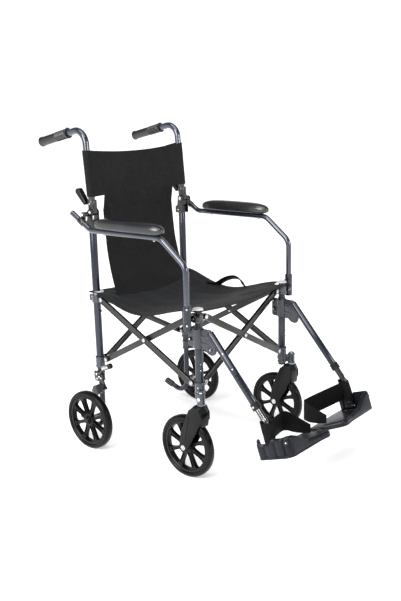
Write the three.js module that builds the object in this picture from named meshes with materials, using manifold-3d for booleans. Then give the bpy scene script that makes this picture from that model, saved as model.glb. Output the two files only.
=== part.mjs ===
// A folding transport wheelchair: four upright posts, an X of flat bars between each pair of
// neighbours, slung seat and back, fold-back push canes, flip-back armrests, swing-away footrests,
// two fixed rear wheels and two casters. Millimetres, +Z up, the occupant faces -Y, and +X is the
// occupant's left. The right side is drawn and the left side is its mirror image.
import * as THREE from "three";
import { mergeVertices } from "three/addons/utils/BufferGeometryUtils.js";
import Module from "manifold-3d";

const wasm = await Module();
wasm.setup();

// ---------- driving dimensions ----------
const GAP = 0.3; // between pieces that touch
const RUN = 0.4; // between pieces that slide or turn on each other
const POST = { at: 222, radius: 12.5, bore: 11.3 }; // the posts stand at (+-222, +-222)
const PIVOT = { inset: 28, low: 305, high: 515 }; // the ends of the cross bars
const BAR = { width: 20, thick: 9.4, layer: 6.8 }; // each bar lies beside its X's middle plane
const EAR = { thick: 3, radius: 9.5, pin: 4 };
const KNUCKLE = { radius: 16.5, low: [274, 313], high: [503, 530] };
const REAR_POST = [262, 776];
const FRONT_POST = [250, 492];
const INNER_TUBE = { radius: 10.8, bore: 9, bottom: 256, top: 543 };
const WHEEL = { radius: 101.5, rearX: 285, casterX: 246, casterY: -186, bore: 6.4, sides: 24 };
const STEM = { y: -246, radius: 6.5, housing: [253, 288] };
const LEVER = { radius: 9.5, top: 300, corner: 36, bend: 42, end: [297, 63.2] };
const HINGE = { y: 216, z: 805 }; // where the backrest folds
const CANE = { radius: 11, corner: [235.5, 1075], bend: 43 };
const GRIP = { from: [312, 1058.2], to: [449, 1028], radius: 16 };
const ARM = { x: 268, radius: 9, top: 755, frontY: -219, pivot: [222, 801] };
const PAD = { y: [-134, 158], width: 52, z: [764.3, 800] };
const HANGER = { z: [422, 484], radius: 11, bore: 9.7, from: [-268, 474.7], to: [-437, 279] };
const EXTENSION = { radius: 9.2, from: [-398, 324.2], knee: [-470, 240.8], outboard: 229 };
const PLATE = { x: 214, y: -500, z: 160, tilt: 19, drop: 11, thick: 9, inner: 12, outer: 244 };
const SEAT = { half: 240, thick: 4, z: 539, sideSag: 46, frontSag: 12, post: 13.6 };
const BACK = { top: 1004, bottom: 856, half: 205, waist: 168, swing: 700, foot: 548, forward: 44, thick: 5 };
const ORIGIN_Y = 65.9; // moves the origin to the middle of the base

// ---------- vectors, sections and sweeps ----------
const v = (x, y, z) => new THREE.Vector3(x, y, z);
const at = (x) => ([y, z]) => v(x, y, z); // a point of the plane at x
const X = v(1, 0, 0);
const Z = v(0, 0, 1);

function circle(radius, sides) {
  return Array.from({ length: sides }, (_, i) => {
    const turn = (2 * Math.PI * i) / sides;
    return new THREE.Vector2(radius * Math.cos(turn), radius * Math.sin(turn));
  });
}

function round(radius, bore = 0, sides = 14) {
  const shape = new THREE.Shape(circle(radius, sides));
  if (bore) shape.holes.push(new THREE.Path(circle(bore, sides)));
  return shape;
}

// A path through chosen stations, whose section keeps one side towards `up`.
class Route extends THREE.Curve {
  constructor(stations, up) {
    super();
    this.stations = stations;
    this.up = up;
  }

  getPointAt(u, target = new THREE.Vector3()) {
    return target.copy(this.stations[Math.round(u * (this.stations.length - 1))]);
  }

  computeFrenetFrames() {
    const last = this.stations.length - 1;
    const step = (i) => this.stations[i + 1].clone().sub(this.stations[i]).normalize();
    const tangents = this.stations.map((_, i) => {
      const before = step(Math.max(i - 1, 0));
      return before.add(step(Math.min(i, last - 1))).normalize();
    });
    const binormals = tangents.map((t) => this.up.clone().addScaledVector(t, -this.up.dot(t)).normalize());
    const normals = tangents.map((t, i) => binormals[i].clone().cross(t));
    return { tangents, normals, binormals };
  }
}

function sweep(section, stations, up = X) {
  const steps = stations.length - 1;
  return new THREE.ExtrudeGeometry(section, { steps, extrudePath: new Route(stations, up) });
}

// The corners of a path with each inner corner turned into an arc.
function rounded(corners, radii, turn = Math.PI / 9) {
  const path = [corners[0]];
  corners.slice(1, -1).forEach((corner, i) => {
    const back = corners[i].clone().sub(corner).normalize();
    const ahead = corners[i + 2].clone().sub(corner).normalize();
    const bend = Math.PI - back.angleTo(ahead);
    const reach = radii[i] * Math.tan(bend / 2);
    const middle = back.clone().add(ahead).normalize();
    const centre = corner.clone().addScaledVector(middle, radii[i] / Math.cos(bend / 2));
    const arm = corner.clone().addScaledVector(back, reach).sub(centre);
    const axis = arm.clone().cross(corner.clone().addScaledVector(ahead, reach).sub(centre)).normalize();
    const steps = Math.max(2, Math.ceil(bend / turn));
    for (let k = 0; k <= steps; k++)
      path.push(arm.clone().applyAxisAngle(axis, (bend * k) / steps).add(centre));
  });
  path.push(corners.at(-1));
  return path;
}

// A straight round bar or tube between two points.
function rod(from, to, radius, bore = 0, sides = 14) {
  const up = Math.abs(to.clone().sub(from).normalize().x) > 0.9 ? Z : X;
  return sweep(round(radius, bore, sides), [from, to], up);
}

function upright(x, y, [low, high], radius, bore = 0, sides = 14) {
  return rod(v(x, y, low), v(x, y, high), radius, bore, sides);
}

// A flat plate: its outline lies across `normal`, which is "x" (outline in y, z), "y" (x, z)
// or "z" (x, y), and it spans from low to high along that axis.
function plate(outline, normal, [low, high], holes = []) {
  const shape = new THREE.Shape(outline.map(([a, b]) => new THREE.Vector2(a, b)));
  for (const [a, b, radius] of holes)
    shape.holes.push(new THREE.Path(circle(radius, 8).map((p) => p.add(new THREE.Vector2(a, b)))));
  const slab = new THREE.ExtrudeGeometry(shape, { depth: high - low, bevelEnabled: false });
  const turn = {
    x: new THREE.Matrix4().makeBasis(v(0, 1, 0), Z, X).setPosition(low, 0, 0),
    y: new THREE.Matrix4().makeBasis(X, Z, v(0, -1, 0)).setPosition(0, high, 0),
    z: new THREE.Matrix4().setPosition(0, 0, low),
  };
  return slab.applyMatrix4(turn[normal]);
}

// Points of an arc, for outlines, from one angle in degrees to another.
function arc(a, b, radius, from, to, steps = 6) {
  return Array.from({ length: steps + 1 }, (_, i) => {
    const turn = THREE.MathUtils.degToRad(from + ((to - from) * i) / steps);
    return [a + radius * Math.cos(turn), b + radius * Math.sin(turn)];
  });
}

// A ring turned about an axis along X, from a closed profile of [radius, x] points.
function turned(profile, x, y, z, segments) {
  const points = [...profile, profile[0]].map(([r, along]) => new THREE.Vector2(r, along));
  const ring = new THREE.LatheGeometry(points, segments);
  return ring.rotateZ(-Math.PI / 2).translate(x, y, z);
}

// ---------- joining and cutting ----------
function solid(geometry) {
  const bare = geometry.index ? geometry.toNonIndexed() : geometry.clone();
  bare.deleteAttribute("normal");
  bare.deleteAttribute("uv");
  const merged = mergeVertices(bare, 1e-3);
  const made = new wasm.Manifold(
    new wasm.Mesh({
      numProp: 3,
      vertProperties: merged.attributes.position.array,
      triVerts: new Uint32Array(merged.index.array),
    }),
  );
  return made;
}

function surface(made) {
  const { vertProperties, triVerts } = made.getMesh();
  const geometry = new THREE.BufferGeometry();
  geometry.setAttribute("position", new THREE.BufferAttribute(vertProperties, 3));
  geometry.setIndex(new THREE.BufferAttribute(triVerts, 1));
  return geometry;
}

const join = (...pieces) => surface(pieces.map(solid).reduce((whole, piece) => whole.add(piece)));
const cut = (base, ...tools) => surface(tools.map(solid).reduce((rest, tool) => rest.subtract(tool), solid(base)));

// ---------- materials ----------
const finish = (color, roughness, metalness) => new THREE.MeshStandardMaterial({ color, roughness, metalness });
const paint = finish(0x4a5163, 0.35, 0.7);
const hammered = finish(0x3f4450, 0.5, 0.6);
const dark = finish(0x2c2b29, 0.5, 0.4);
const black = finish(0x151515, 0.6, 0.1);
const zinc = finish(0xb9bbbd, 0.3, 0.9);
const moulded = finish(0x2e3036, 0.5, 0);
const rubber = finish(0x26272a, 0.85, 0);
const gloss = finish(0x33353a, 0.25, 0);
const nylon = finish(0x1c1c1d, 0.9, 0);

const chair = new THREE.Group();

function add(parent, name, geometry, material) {
  const mesh = new THREE.Mesh(geometry, material);
  mesh.name = name;
  parent.add(mesh);
}

// ---------- frame ----------
// One ear of a knuckle, reaching from the post at (x, y) inboard along "x" or along y.
function ear(x, y, pivotZ, along) {
  const half = EAR.thick / 2;
  const outline = [
    [14, pivotZ - EAR.radius],
    ...arc(PIVOT.inset, pivotZ, EAR.radius, -90, 90, 5),
    [14, pivotZ + EAR.radius],
  ];
  const hole = [PIVOT.inset, pivotZ, EAR.pin + RUN + 0.2];
  if (along === "x") return plate(outline, "y", [-half, half], [hole]).translate(x, y, 0);
  const slab = plate(outline, "x", [-half, half], [hole]);
  if (y > 0) slab.rotateZ(Math.PI);
  return slab.translate(x, y, 0);
}

function knuckle(y, [low, high], pivotZ, bore) {
  const sleeve = upright(-POST.at, y, [low, high], KNUCKLE.radius, bore);
  return join(sleeve, ear(-POST.at, y, pivotZ, "x"), ear(-POST.at, y, pivotZ, "y"));
}

// The front lower knuckle also holds the caster's stem, forward and outboard of the post.
function frontLowerKnuckle() {
  const stemX = -WHEEL.casterX;
  const housing = upright(stemX, STEM.y, STEM.housing, 12.5, STEM.radius + RUN + 0.2);
  const web = plate(
    [[-11, -5], [11, -5], [11, 5], [-11, 5]],
    "z",
    [STEM.housing[0] + 6, STEM.housing[1] - 4],
  );
  web.rotateZ(Math.PI / 4).translate(-POST.at - 12, -POST.at - 12, 0);
  const core = join(housing, web, upright(-POST.at, -POST.at, [258, 276], KNUCKLE.radius - 1));
  const trimmed = cut(
    core,
    upright(-POST.at, -POST.at, [240, 300], POST.radius + RUN + 0.1),
    upright(stemX, STEM.y, [240, 300], STEM.radius + RUN + 0.2),
  );
  return join(trimmed, knuckle(-POST.at, KNUCKLE.low, PIVOT.low, POST.radius + RUN));
}

// The front upper knuckle stands on the inner tube that telescopes out of the front post, and
// carries the round boss that the armrest's socket stands beside.
function frontUpperKnuckle() {
  const tube = upright(-POST.at, -POST.at, [INNER_TUBE.bottom, INNER_TUBE.top], INNER_TUBE.radius, INNER_TUBE.bore);
  const collar = knuckle(-POST.at, KNUCKLE.high, PIVOT.high, INNER_TUBE.radius - 1);
  const boss = rod(v(-235, -230, 520), v(-254.6, -230, 520), 11.5);
  return join(tube, collar, boss);
}

// A flat bar between two pivots, lying along local x with its pins pointing to local -z.
function crossBar(holdsCrossing) {
  const length = Math.hypot(2 * (POST.at - PIVOT.inset), PIVOT.high - PIVOT.low);
  const half = BAR.thick / 2;
  const outline = [...arc(length, 0, BAR.width / 2, -90, 90, 5), ...arc(0, 0, BAR.width / 2, 90, 270, 5)];
  const hole = holdsCrossing ? [] : [[length / 2, 0, EAR.pin + RUN + 0.2]];
  const strap = plate(outline, "z", [-half, half], hole);
  const pin = (along, depth, head) => [
    rod(v(along, 0, -half + 1), v(along, 0, -depth), EAR.pin, 0, 8),
    rod(v(along, 0, -depth + 0.1), v(along, 0, -depth - head), 7, 0, 8),
  ];
  const earSide = BAR.layer + EAR.thick / 2 + RUN;
  const pins = [...pin(0, earSide, 2), ...pin(length, earSide, 2)];
  if (holdsCrossing) {
    pins.push(...pin(length / 2, BAR.layer * 2 + half + RUN, 2));
    pins.push(rod(v(length / 2, 0, -half + 1), v(length / 2, 0, -2 * BAR.layer + half + RUN), 8, 0, 8));
  }
  return join(strap, ...pins);
}

const SLOPE = Math.atan2(PIVOT.high - PIVOT.low, 2 * (POST.at - PIVOT.inset));
const SPAN = POST.at - PIVOT.inset;

// Places a bar with its local x rising at `slope` along `run`, its face towards `face`.
function placed(bar, low, run, face) {
  const along = run.clone().multiplyScalar(Math.cos(SLOPE)).addScaledVector(Z, Math.sin(SLOPE));
  const across = face.clone().cross(along);
  const frame = new THREE.Matrix4().makeBasis(along, across, face);
  return bar.applyMatrix4(frame.setPosition(low.clone().addScaledVector(face, BAR.layer)));
}

function crossedPair(parent, place, middle, run, inward) {
  const low = (way) => middle.clone().addScaledVector(run, -way * SPAN).setZ(PIVOT.low);
  const outward = inward.clone().negate();
  add(parent, `cross_bar_${place}_inner`, placed(crossBar(true), low(1), run, inward), dark);
  add(parent, `cross_bar_${place}_outer`, placed(crossBar(false), low(-1), run.clone().negate(), outward), dark);
}

// ---------- wheels ----------
function wheelPair(parent, name, x, y) {
  const r = WHEEL.radius;
  const tyre = [[86, -10], [95, -13], [r, -7], [r, 7], [95, 13], [86, 10]];
  add(parent, `${name}_tyre`, turned(tyre, x, y, r, WHEEL.sides), rubber);
  const felloe = turned([[77, -9], [85.7, -9.7], [85.7, 9.7], [77, 9]], x, y, r, WHEEL.sides);
  const hub = rod(v(x - 15, y, r), v(x + 15, y, r), 16, WHEEL.bore);
  const spokes = Array.from({ length: 8 }, (_, i) => {
    const spoke = new THREE.BoxGeometry(10, 9, 66).translate(0, 0, 46.5);
    return spoke.rotateX((Math.PI * (i + 0.5)) / 4).translate(x, y, r);
  });
  add(parent, `${name}_rim`, join(felloe, hub, ...spokes), moulded);
}

function rearAxle() {
  const end = (x) => v(x, POST.at, WHEEL.radius);
  const spacer = rod(end(-POST.at - LEVER.radius - GAP), end(-WHEEL.rearX + 15 + RUN), 10);
  const pin = rod(end(-240), end(-WHEEL.rearX - 17), WHEEL.bore - 0.6);
  const head = rod(end(-WHEEL.rearX - 15 - RUN), end(-WHEEL.rearX - 20), 9, 0, 12);
  return join(spacer, pin, head);
}

// The fork: two legs and a crown in one moulding, the wheel's disc cut out between the legs.
function casterFork() {
  const x = -WHEEL.casterX;
  const { casterY: y, radius: r } = WHEEL;
  const outline = [
    [-262, 250], [-228, 250], [-212, 232], [-176, 150],
    ...arc(y, r, 17, 20, -170, 8),
    [-262, 205],
  ];
  const block = plate(outline, "x", [x - 23, x + 23]);
  const well = rod(v(x - 15.6, y, r), v(x + 15.6, y, r), 108, 0, 32);
  const axle = rod(v(x - 25, y, r), v(x + 25, y, r), WHEEL.bore - 0.6, 0, 12);
  const stem = upright(x, STEM.y, [245, STEM.housing[1] + 4], STEM.radius);
  const cap = upright(x, STEM.y, [STEM.housing[1] + RUN, STEM.housing[1] + 5], 9);
  return join(cut(block, well), axle, stem, cap);
}

// ---------- tipping lever and wheel lock ----------
function tippingLever() {
  const [endY, endZ] = LEVER.end;
  const rise = (endZ - LEVER.corner) / (endY - POST.at);
  const corners = [[POST.at, LEVER.top], [POST.at, LEVER.corner], [endY, LEVER.corner + rise * (endY - POST.at)]];
  const path = rounded(corners.map(at(-POST.at)), [LEVER.bend]);
  const tube = sweep(round(LEVER.radius), path);
  const collar = upright(-POST.at, POST.at, [226, 260], 14);
  const bracket = plate(
    [[192, 238], [200, 226], [236, 226], [240, 240], [240, 260], [192, 260]],
    "x",
    [-238, -232],
    [[228, 250, 3], [226, 234, 3]],
  );
  const pivot = rod(v(-235, 204, 248), v(-248, 204, 248), 4, 0, 12);
  return join(tube, collar, bracket, pivot);
}

function tippingTip() {
  const [y, z] = LEVER.end;
  const rise = (z - LEVER.corner) / (y - POST.at);
  const length = Math.hypot(1, rise);
  const point = (s) => v(-POST.at, y + s / length, z + (s * rise) / length);
  return join(rod(point(GAP), point(32), 12), rod(point(31), point(37), 9));
}

function wheelLock() {
  const hub = plate(arc(204, 248, 12, 0, 330, 11), "x", [-246, -239], [[204, 248, 4.6]]);
  const arm = plate([[196, 250], [192, 240], [174, 208], [182, 206], [206, 238]], "x", [-246, -240]);
  const pedal = rod(v(-245, 202, 258), v(-245, 178, 284), 5, 0, 12);
  const foot = rod(v(-245, 186, 281), v(-245, 146, 298), 9);
  const reach = rod(v(-241, 178, 212), v(-274, 178, 212), 5, 0, 12);
  const shoe = plate(
    [[164, 206], [192, 213], [192, 218], [184, 234], [172, 238], [162, 212]],
    "x",
    [-296, -272],
  );
  return join(hub, arm, pedal, foot, reach, shoe);
}

// ---------- backrest ----------
// The fixed half of the back hinge: a sleeve on the post, two cheeks, the hinge pin, and the arm
// that the armrest's lug turns on.
function backHinge() {
  const { y, z } = HINGE;
  const sleeve = upright(-POST.at, POST.at, [752, 774], 15.5, POST.radius + RUN);
  const outline = [[204, 752], [239, 752], [239, 774], [230, 780], ...arc(y, z, 12, -20, 190, 8)];
  const cheek = (x) => plate(outline, "x", [x, x + 3]);
  const pin = rod(v(-POST.at - 14, y, z), v(-POST.at + 14, y, z), 4, 0, 12);
  const [armY, armZ] = ARM.pivot;
  const arm = rod(v(-POST.at - 13, armY, armZ), v(-256.7, armY, armZ), 8);
  const armPin = rod(v(-255, armY, armZ), v(-262.6, armY, armZ), 3.4, 0, 12);
  const armHead = rod(v(-262.5, armY, armZ), v(-264.5, armY, armZ), 6, 0, 12);
  return join(sleeve, cheek(-POST.at - 16), cheek(-POST.at + 13), pin, arm, armPin, armHead);
}

function pushCane() {
  const { y, z } = HINGE;
  const foot = [y + 1.2, z + 18];
  const end = [GRIP.to[0] - 20, GRIP.to[1] + 4.4];
  const path = rounded([foot, CANE.corner, end].map(at(-POST.at)), [CANE.bend]);
  const tube = sweep(round(CANE.radius), path);
  const tongue = plate([...arc(y, z, 10.5, 180, 360, 8), [y + 12, z + 40], [y - 9, z + 40]], "x", [-232.5, -211.5]);
  const drilled = cut(tongue, rod(v(-240, y, z), v(-204, y, z), 4.7, 0, 12));
  const socket = sweep(round(14), [[y + 1.4, z + 17], [y + 3.2, z + 40]].map(at(-POST.at)));
  return join(tube, drilled, socket);
}

// A ribbed rubber grip, closed at its end, whose bore takes the cane.
function handGrip() {
  const from = at(-POST.at)(GRIP.from);
  const to = at(-POST.at)(GRIP.to);
  const length = from.distanceTo(to);
  const r = GRIP.radius;
  const bore = CANE.radius + RUN;
  const profile = [
    [bore, 0], [r + 2.5, 0], [r + 2.5, 5], [r - 2, 8], [r - 1, 40], [r, 60],
    [r - 1, length - 9], [r + 1, length - 7], [r + 1, length], [0, length], [0, length - 12],
    [bore, length - 12],
  ];
  const points = [...profile, profile[0]].map(([radius, along]) => new THREE.Vector2(radius, along));
  const grip = new THREE.LatheGeometry(points, 20);
  const direction = to.clone().sub(from).normalize();
  const turn = new THREE.Quaternion().setFromUnitVectors(v(0, 1, 0), direction);
  return grip.applyQuaternion(turn).translate(from.x, from.y, from.z);
}

function releaseLever() {
  const outline = [...arc(273, 872, 8, -50, 130, 6), ...arc(243, 836, 7, 130, 310, 6)];
  return plate(outline, "x", [-234, -218]);
}

// ---------- armrest ----------
function armrestTube() {
  const { top, frontY, pivot } = ARM;
  const corners = [[266, 806], [181, top], [-123, top], [frontY, 678], [frontY, 490]];
  const path = rounded(corners.map(at(-ARM.x)), [35, 50, 45]);
  const tube = sweep(round(ARM.radius, 0, 12), path);
  const socket = upright(-ARM.x, frontY, [488, 562], 12.3);
  const rise = (806 - top) / (266 - 181);
  const onSlope = (y) => [y, top + rise * (y - 181)];
  const saddle = sweep(round(11), [onSlope(212), onSlope(232)].map(at(-ARM.x)));
  const [y, z] = pivot;
  const lugOutline = [...arc(y, z, 9, -20, 200, 8), [y - 9, z - 22], [y + 9, z - 16]];
  const lug = plate(lugOutline, "x", [-262, -257], [[y, z, 4]]);
  const foot = join(saddle, lug);
  return join(tube, socket, foot);
}

function armrestPad() {
  const half = PAD.width / 2;
  const [low, high] = PAD.z;
  const edge = 7;
  const section = [
    [-half + edge, low], [half - edge, low], [half, low + edge], [half, high - edge - 5],
    [half - 9, high - 2], [10, high], [-10, high], [-half + 9, high - 2], [-half, high - edge - 5],
    [-half, low + edge],
  ];
  return plate(section, "y", PAD.y).translate(-ARM.x, 0, 0);
}

// ---------- footrest ----------
function footrestHanger() {
  const [low, high] = HANGER.z;
  const sleeve = upright(-POST.at, -POST.at, [low, high], 16, POST.radius + RUN + 0.1);
  const web = plate(
    [
      [-184, high], [-184, low + 6], [-188, low + 1], [-250, low - 3], [-262, low - 12],
      [-276, low - 15], [-288, low - 6], [-292, low + 14], [-268, high],
    ],
    "x",
    [-POST.at - 4, -POST.at + 4],
  );
  const tube = rod(at(-POST.at)(HANGER.from), at(-POST.at)(HANGER.to), HANGER.radius, 0);
  const collar = rod(at(-POST.at)([-427, 290.6]), at(-POST.at)([-441, 274.4]), 14, 0);
  const body = join(sleeve, web, tube, collar);
  return cut(
    body,
    upright(-POST.at, -POST.at, [400, 500], POST.radius + RUN + 0.1),
    rod(at(-POST.at)([-292, 446.9]), at(-POST.at)([-450, 263.9]), HANGER.bore),
  );
}

function footrestExtension() {
  const { radius, from, knee, outboard } = EXTENSION;
  const foot = v(-outboard, PLATE.y + 3, PLATE.z + 6);
  const path = rounded([at(-POST.at)(from), at(-POST.at)(knee), foot], [30]);
  const tube = sweep(round(radius, 0), path);
  const tilt = THREE.MathUtils.degToRad(PLATE.tilt);
  const reach = v(0, Math.cos(tilt), -Math.sin(tilt)).multiplyScalar(16);
  const axis = v(-PLATE.x, PLATE.y, PLATE.z);
  const barrel = rod(axis.clone().sub(reach), axis.clone().add(reach), 9);
  const block = new THREE.BoxGeometry(18, 16, 14).translate(-outboard + 8, PLATE.y + 1, PLATE.z + 1);
  return join(tube, barrel, block);
}

// The footplate in its own frame: x inboard, y rearward along the hinge, z up through the tread.
function footplate() {
  const { x, inner, outer, drop, thick } = PLATE;
  const left = x - outer;
  const right = x - inner;
  const outline = [
    [left, 54], [left, -42], ...arc(left + 28, -44, 28, 180, 255, 4),
    [x - 93, -76], ...arc(right - 46, -54, 28, -90, -35, 3),
    [right, -20], ...arc(right - 18, 30, 18, 0, 80, 3), [x - 120, 54],
  ];
  const tread = plate(outline, "z", [-drop - thick, -drop]);
  const wall = plate(
    [[left, 54], [left, -42], ...arc(left + 28, -44, 28, 180, 255, 4), [72, -75],
      [72, -69], ...arc(left + 28, -44, 22, 255, 180, 4), [left + 6, 54]],
    "z",
    [-drop - 1, 46],
  );
  const slope = plate(
    [[left - 5, 38], [left + 16, 42], [12, 43], [34, 35], [52, 18], [75, 2], [75, 70], [left - 5, 70]],
    "y",
    [-100, -30],
  );
  const lip = cut(wall, slope);
  const body = join(tread, lip);
  body.rotateX(-THREE.MathUtils.degToRad(PLATE.tilt));
  return body.translate(-PLATE.x, PLATE.y, PLATE.z);
}

// The heel strap stands on edge from the footrest's lower post to the inner end of the footplate,
// then turns forward and tapers down to the tread. Each station is [x, y, top, bottom].
function heelLoop() {
  const thick = 2.4;
  const stations = [
    [-209, -474, 243, 179], [-170, -458, 233, 169], [-130, -443, 225, 161], [-95, -430, 218, 154],
    [-70, -422, 213, 148], [-57, -421, 211, 144], [-50, -432, 206, 141], [-48, -450, 196, 142],
    [-47, -480, 180, 150], [-46, -510, 168, 160],
  ];
  const last = stations.length - 1;
  const flat = stations.map(([x, y]) => v(x, y, 0));
  const corners = stations.flatMap(([x, y, top, bottom], i) => {
    const along = flat[Math.min(i + 1, last)].clone().sub(flat[Math.max(i - 1, 0)]).normalize();
    const side = along.cross(Z).multiplyScalar(thick / 2);
    const [high, low] = [v(x, y, top), v(x, y, bottom)];
    return [high.clone().add(side), high.sub(side), low.clone().sub(side), low.add(side)];
  });
  const index = [0, 1, 2, 0, 2, 3];
  const end = 4 * last;
  index.push(end, end + 2, end + 1, end, end + 3, end + 2);
  for (let i = 0; i < last; i++)
    for (let k = 0; k < 4; k++) {
      const [a, b] = [4 * i + k, 4 * i + ((k + 1) % 4)];
      index.push(a, a + 4, b + 4, a, b + 4, b);
    }
  const strap = new THREE.BufferGeometry().setFromPoints(corners);
  strap.setIndex(index);
  return strap;
}

// ---------- slings ----------
// The seat: a sheet hung from the four upper knuckles, notched round the posts.
function seatSling() {
  const cells = 6;
  const { half, z, sideSag, frontSag, thick } = SEAT;
  const sheet = new THREE.BoxGeometry(2 * half, 2 * half, thick, cells, cells, 1);
  const position = sheet.attributes.position;
  for (let i = 0; i < position.count; i++) {
    const u = Math.min(1, Math.abs(position.getX(i)) / POST.at);
    const w = Math.min(1, Math.abs(position.getY(i)) / POST.at);
    const dip = sideSag * (1 - w * w) ** 2 + frontSag * (1 - u * u);
    position.setZ(i, position.getZ(i) + z - dip);
  }
  const notches = [[-1, -1], [-1, 1], [1, -1], [1, 1]].map(([a, b]) =>
    upright(a * POST.at, b * POST.at, [400, 600], SEAT.post));
  return cut(sheet, ...notches);
}

// The back: a wide band between the canes above the hinges, and below it a narrower panel whose
// foot swings forward to the seat.
function backSling() {
  const { top, bottom, half, waist, foot, swing, forward, thick } = BACK;
  const lean = (230.5 - 219) / (1005 - 857);
  const middle = (z) => 219 + (z - 857) * lean;
  const stations = [[middle(top), top], [middle(bottom), bottom], [middle(swing), swing]];
  stations.push([middle(620) - forward / 4, 620], [middle(foot) - forward, foot]);
  const ribbon = (line) => [
    ...line.map(([y, z]) => [y - thick / 2, z]),
    ...[...line].reverse().map(([y, z]) => [y + thick / 2, z]),
  ];
  const band = plate(ribbon(stations.slice(0, 2)), "x", [-half, half]);
  return join(band, plate(ribbon(stations), "x", [-waist, waist]));
}

// ---------- assembly ----------
function sideOf(side) {
  const group = new THREE.Group();
  const name = (piece) => `${piece}_${side}`;
  const part = (piece, geometry, material) => add(group, name(piece), geometry, material);
  part("rear_post", upright(-POST.at, POST.at, REAR_POST, POST.radius, POST.bore), paint);
  part("front_post", upright(-POST.at, -POST.at, FRONT_POST, POST.radius, POST.bore), paint);
  part("rear_lower_knuckle", knuckle(POST.at, KNUCKLE.low, PIVOT.low, POST.radius + RUN), hammered);
  part("rear_upper_knuckle", knuckle(POST.at, KNUCKLE.high, PIVOT.high, POST.radius + RUN), hammered);
  part("front_lower_knuckle", frontLowerKnuckle(), hammered);
  part("front_upper_knuckle", frontUpperKnuckle(), hammered);
  crossedPair(group, side, v(-POST.at, 0, 0), v(0, -1, 0), X);
  part("tipping_lever", tippingLever(), paint);
  part("tipping_lever_tip", tippingTip(), rubber);
  part("wheel_lock", wheelLock(), zinc);
  part("rear_axle", rearAxle(), zinc);
  wheelPair(group, name("rear_wheel"), -WHEEL.rearX, POST.at);
  part("caster_fork", casterFork(), moulded);
  wheelPair(group, name("caster_wheel"), -WHEEL.casterX, WHEEL.casterY);
  part("back_hinge", backHinge(), black);
  part("push_cane", pushCane(), paint);
  part("hand_grip", handGrip(), rubber);
  part("back_release_lever", releaseLever(), black);
  part("armrest_tube", armrestTube(), paint);
  part("armrest_pad", armrestPad(), gloss);
  part("footrest_hanger", footrestHanger(), paint);
  part("footrest_extension", footrestExtension(), black);
  part("footplate", footplate(), moulded);
  part("heel_loop", heelLoop(), nylon);
  return group;
}

const right = sideOf("right");
const left = sideOf("left");
left.scale.x = -1;
chair.add(right, left);
crossedPair(chair, "rear", v(0, POST.at, 0), X, v(0, -1, 0));
crossedPair(chair, "front", v(0, -POST.at, 0), X, v(0, 1, 0));
add(chair, "seat_sling", seatSling(), nylon);
add(chair, "back_sling", backSling(), nylon);
chair.position.y = ORIGIN_Y;

export default chair;
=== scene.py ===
import math

import bmesh
import bpy
import numpy as np
from mathutils import Matrix, Vector, noise


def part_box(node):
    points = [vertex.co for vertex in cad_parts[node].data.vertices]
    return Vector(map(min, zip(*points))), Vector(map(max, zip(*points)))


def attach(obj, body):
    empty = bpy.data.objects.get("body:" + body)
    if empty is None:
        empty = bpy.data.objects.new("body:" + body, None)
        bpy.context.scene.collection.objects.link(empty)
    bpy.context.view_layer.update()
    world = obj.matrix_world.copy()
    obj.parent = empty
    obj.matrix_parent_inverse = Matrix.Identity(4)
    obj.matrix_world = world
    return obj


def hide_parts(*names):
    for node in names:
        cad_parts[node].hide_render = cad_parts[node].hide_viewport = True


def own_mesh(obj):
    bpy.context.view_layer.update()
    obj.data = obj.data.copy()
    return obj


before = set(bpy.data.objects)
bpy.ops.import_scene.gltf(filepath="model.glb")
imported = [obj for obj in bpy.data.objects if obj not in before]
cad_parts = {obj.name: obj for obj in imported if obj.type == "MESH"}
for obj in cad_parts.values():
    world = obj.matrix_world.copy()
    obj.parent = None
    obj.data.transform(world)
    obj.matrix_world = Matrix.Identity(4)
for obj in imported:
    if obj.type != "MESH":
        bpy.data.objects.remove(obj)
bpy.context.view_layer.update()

MM = 0.001
SIDES = ("right", "left")


def middle_of(node):
    low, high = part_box(node)
    return (low + high) / 2 / MM


def span_of(node, axis=2):
    low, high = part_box(node)
    return low[axis] / MM, high[axis] / MM


# ---------- driving dimensions ----------
PLAN_Y = (middle_of("rear_post_right").y + middle_of("front_post_right").y) / 2
AT = middle_of("rear_post_right").y - PLAN_Y  # the posts stand at (+-AT, +-AT)
REAR_POST = span_of("rear_post_right")
FRONT_POST = span_of("front_post_right")
LOW_PIVOT, HIGH_PIVOT, PIVOT_INSET = 305, 515, 28  # the crossed bars' ends: heights, and inset from a post
LOW_SLEEVE, HIGH_SLEEVE = (274, 313), (503, 530)
LOW_BOLTS, HIGH_BOLTS = 292, 518
TUBE, SLEEVE = 12.5, 16.5  # radii of a post and of the collars on it
POST_BORE, SLEEVE_BORE = 11.3, TUBE + 0.4
WHEEL = (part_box("rear_wheel_right_tyre")[1].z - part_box("rear_wheel_right_tyre")[0].z) / 2 / MM
REAR_WHEEL_X = -middle_of("rear_wheel_right_rim").x
CASTER_X = -middle_of("caster_wheel_right_rim").x
CASTER_Y = middle_of("caster_wheel_right_rim").y - PLAN_Y
STEM_Y = -246
HINGE_Y, HINGE_Z, ARM_PIVOT_Z = 216, 805, 801  # where the back folds, and where the armrest turns
ARM_X, ARM_TOP, ARM_FRONT = 268, 755, -219  # the armrest's plane, its level stretch and its front upright
PAD_BOTTOM, PAD_TOP = span_of("armrest_pad_right")
PLATE_X, PLATE_Y, PLATE_Z, PLATE_TILT = 214, -500, 160, math.radians(19)  # the footplate's hinge
SEAT_HALF, SEAT_Z, SIDE_SAG, FRONT_SAG = 240, 539, 46, 12
HOLE_SHIFT = 4.2  # the seat's holes lie this much further in than the posts, along x and y
BACK_TOP, BACK_BOTTOM, BACK_THICK = 1004, 856, 2.4
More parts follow.
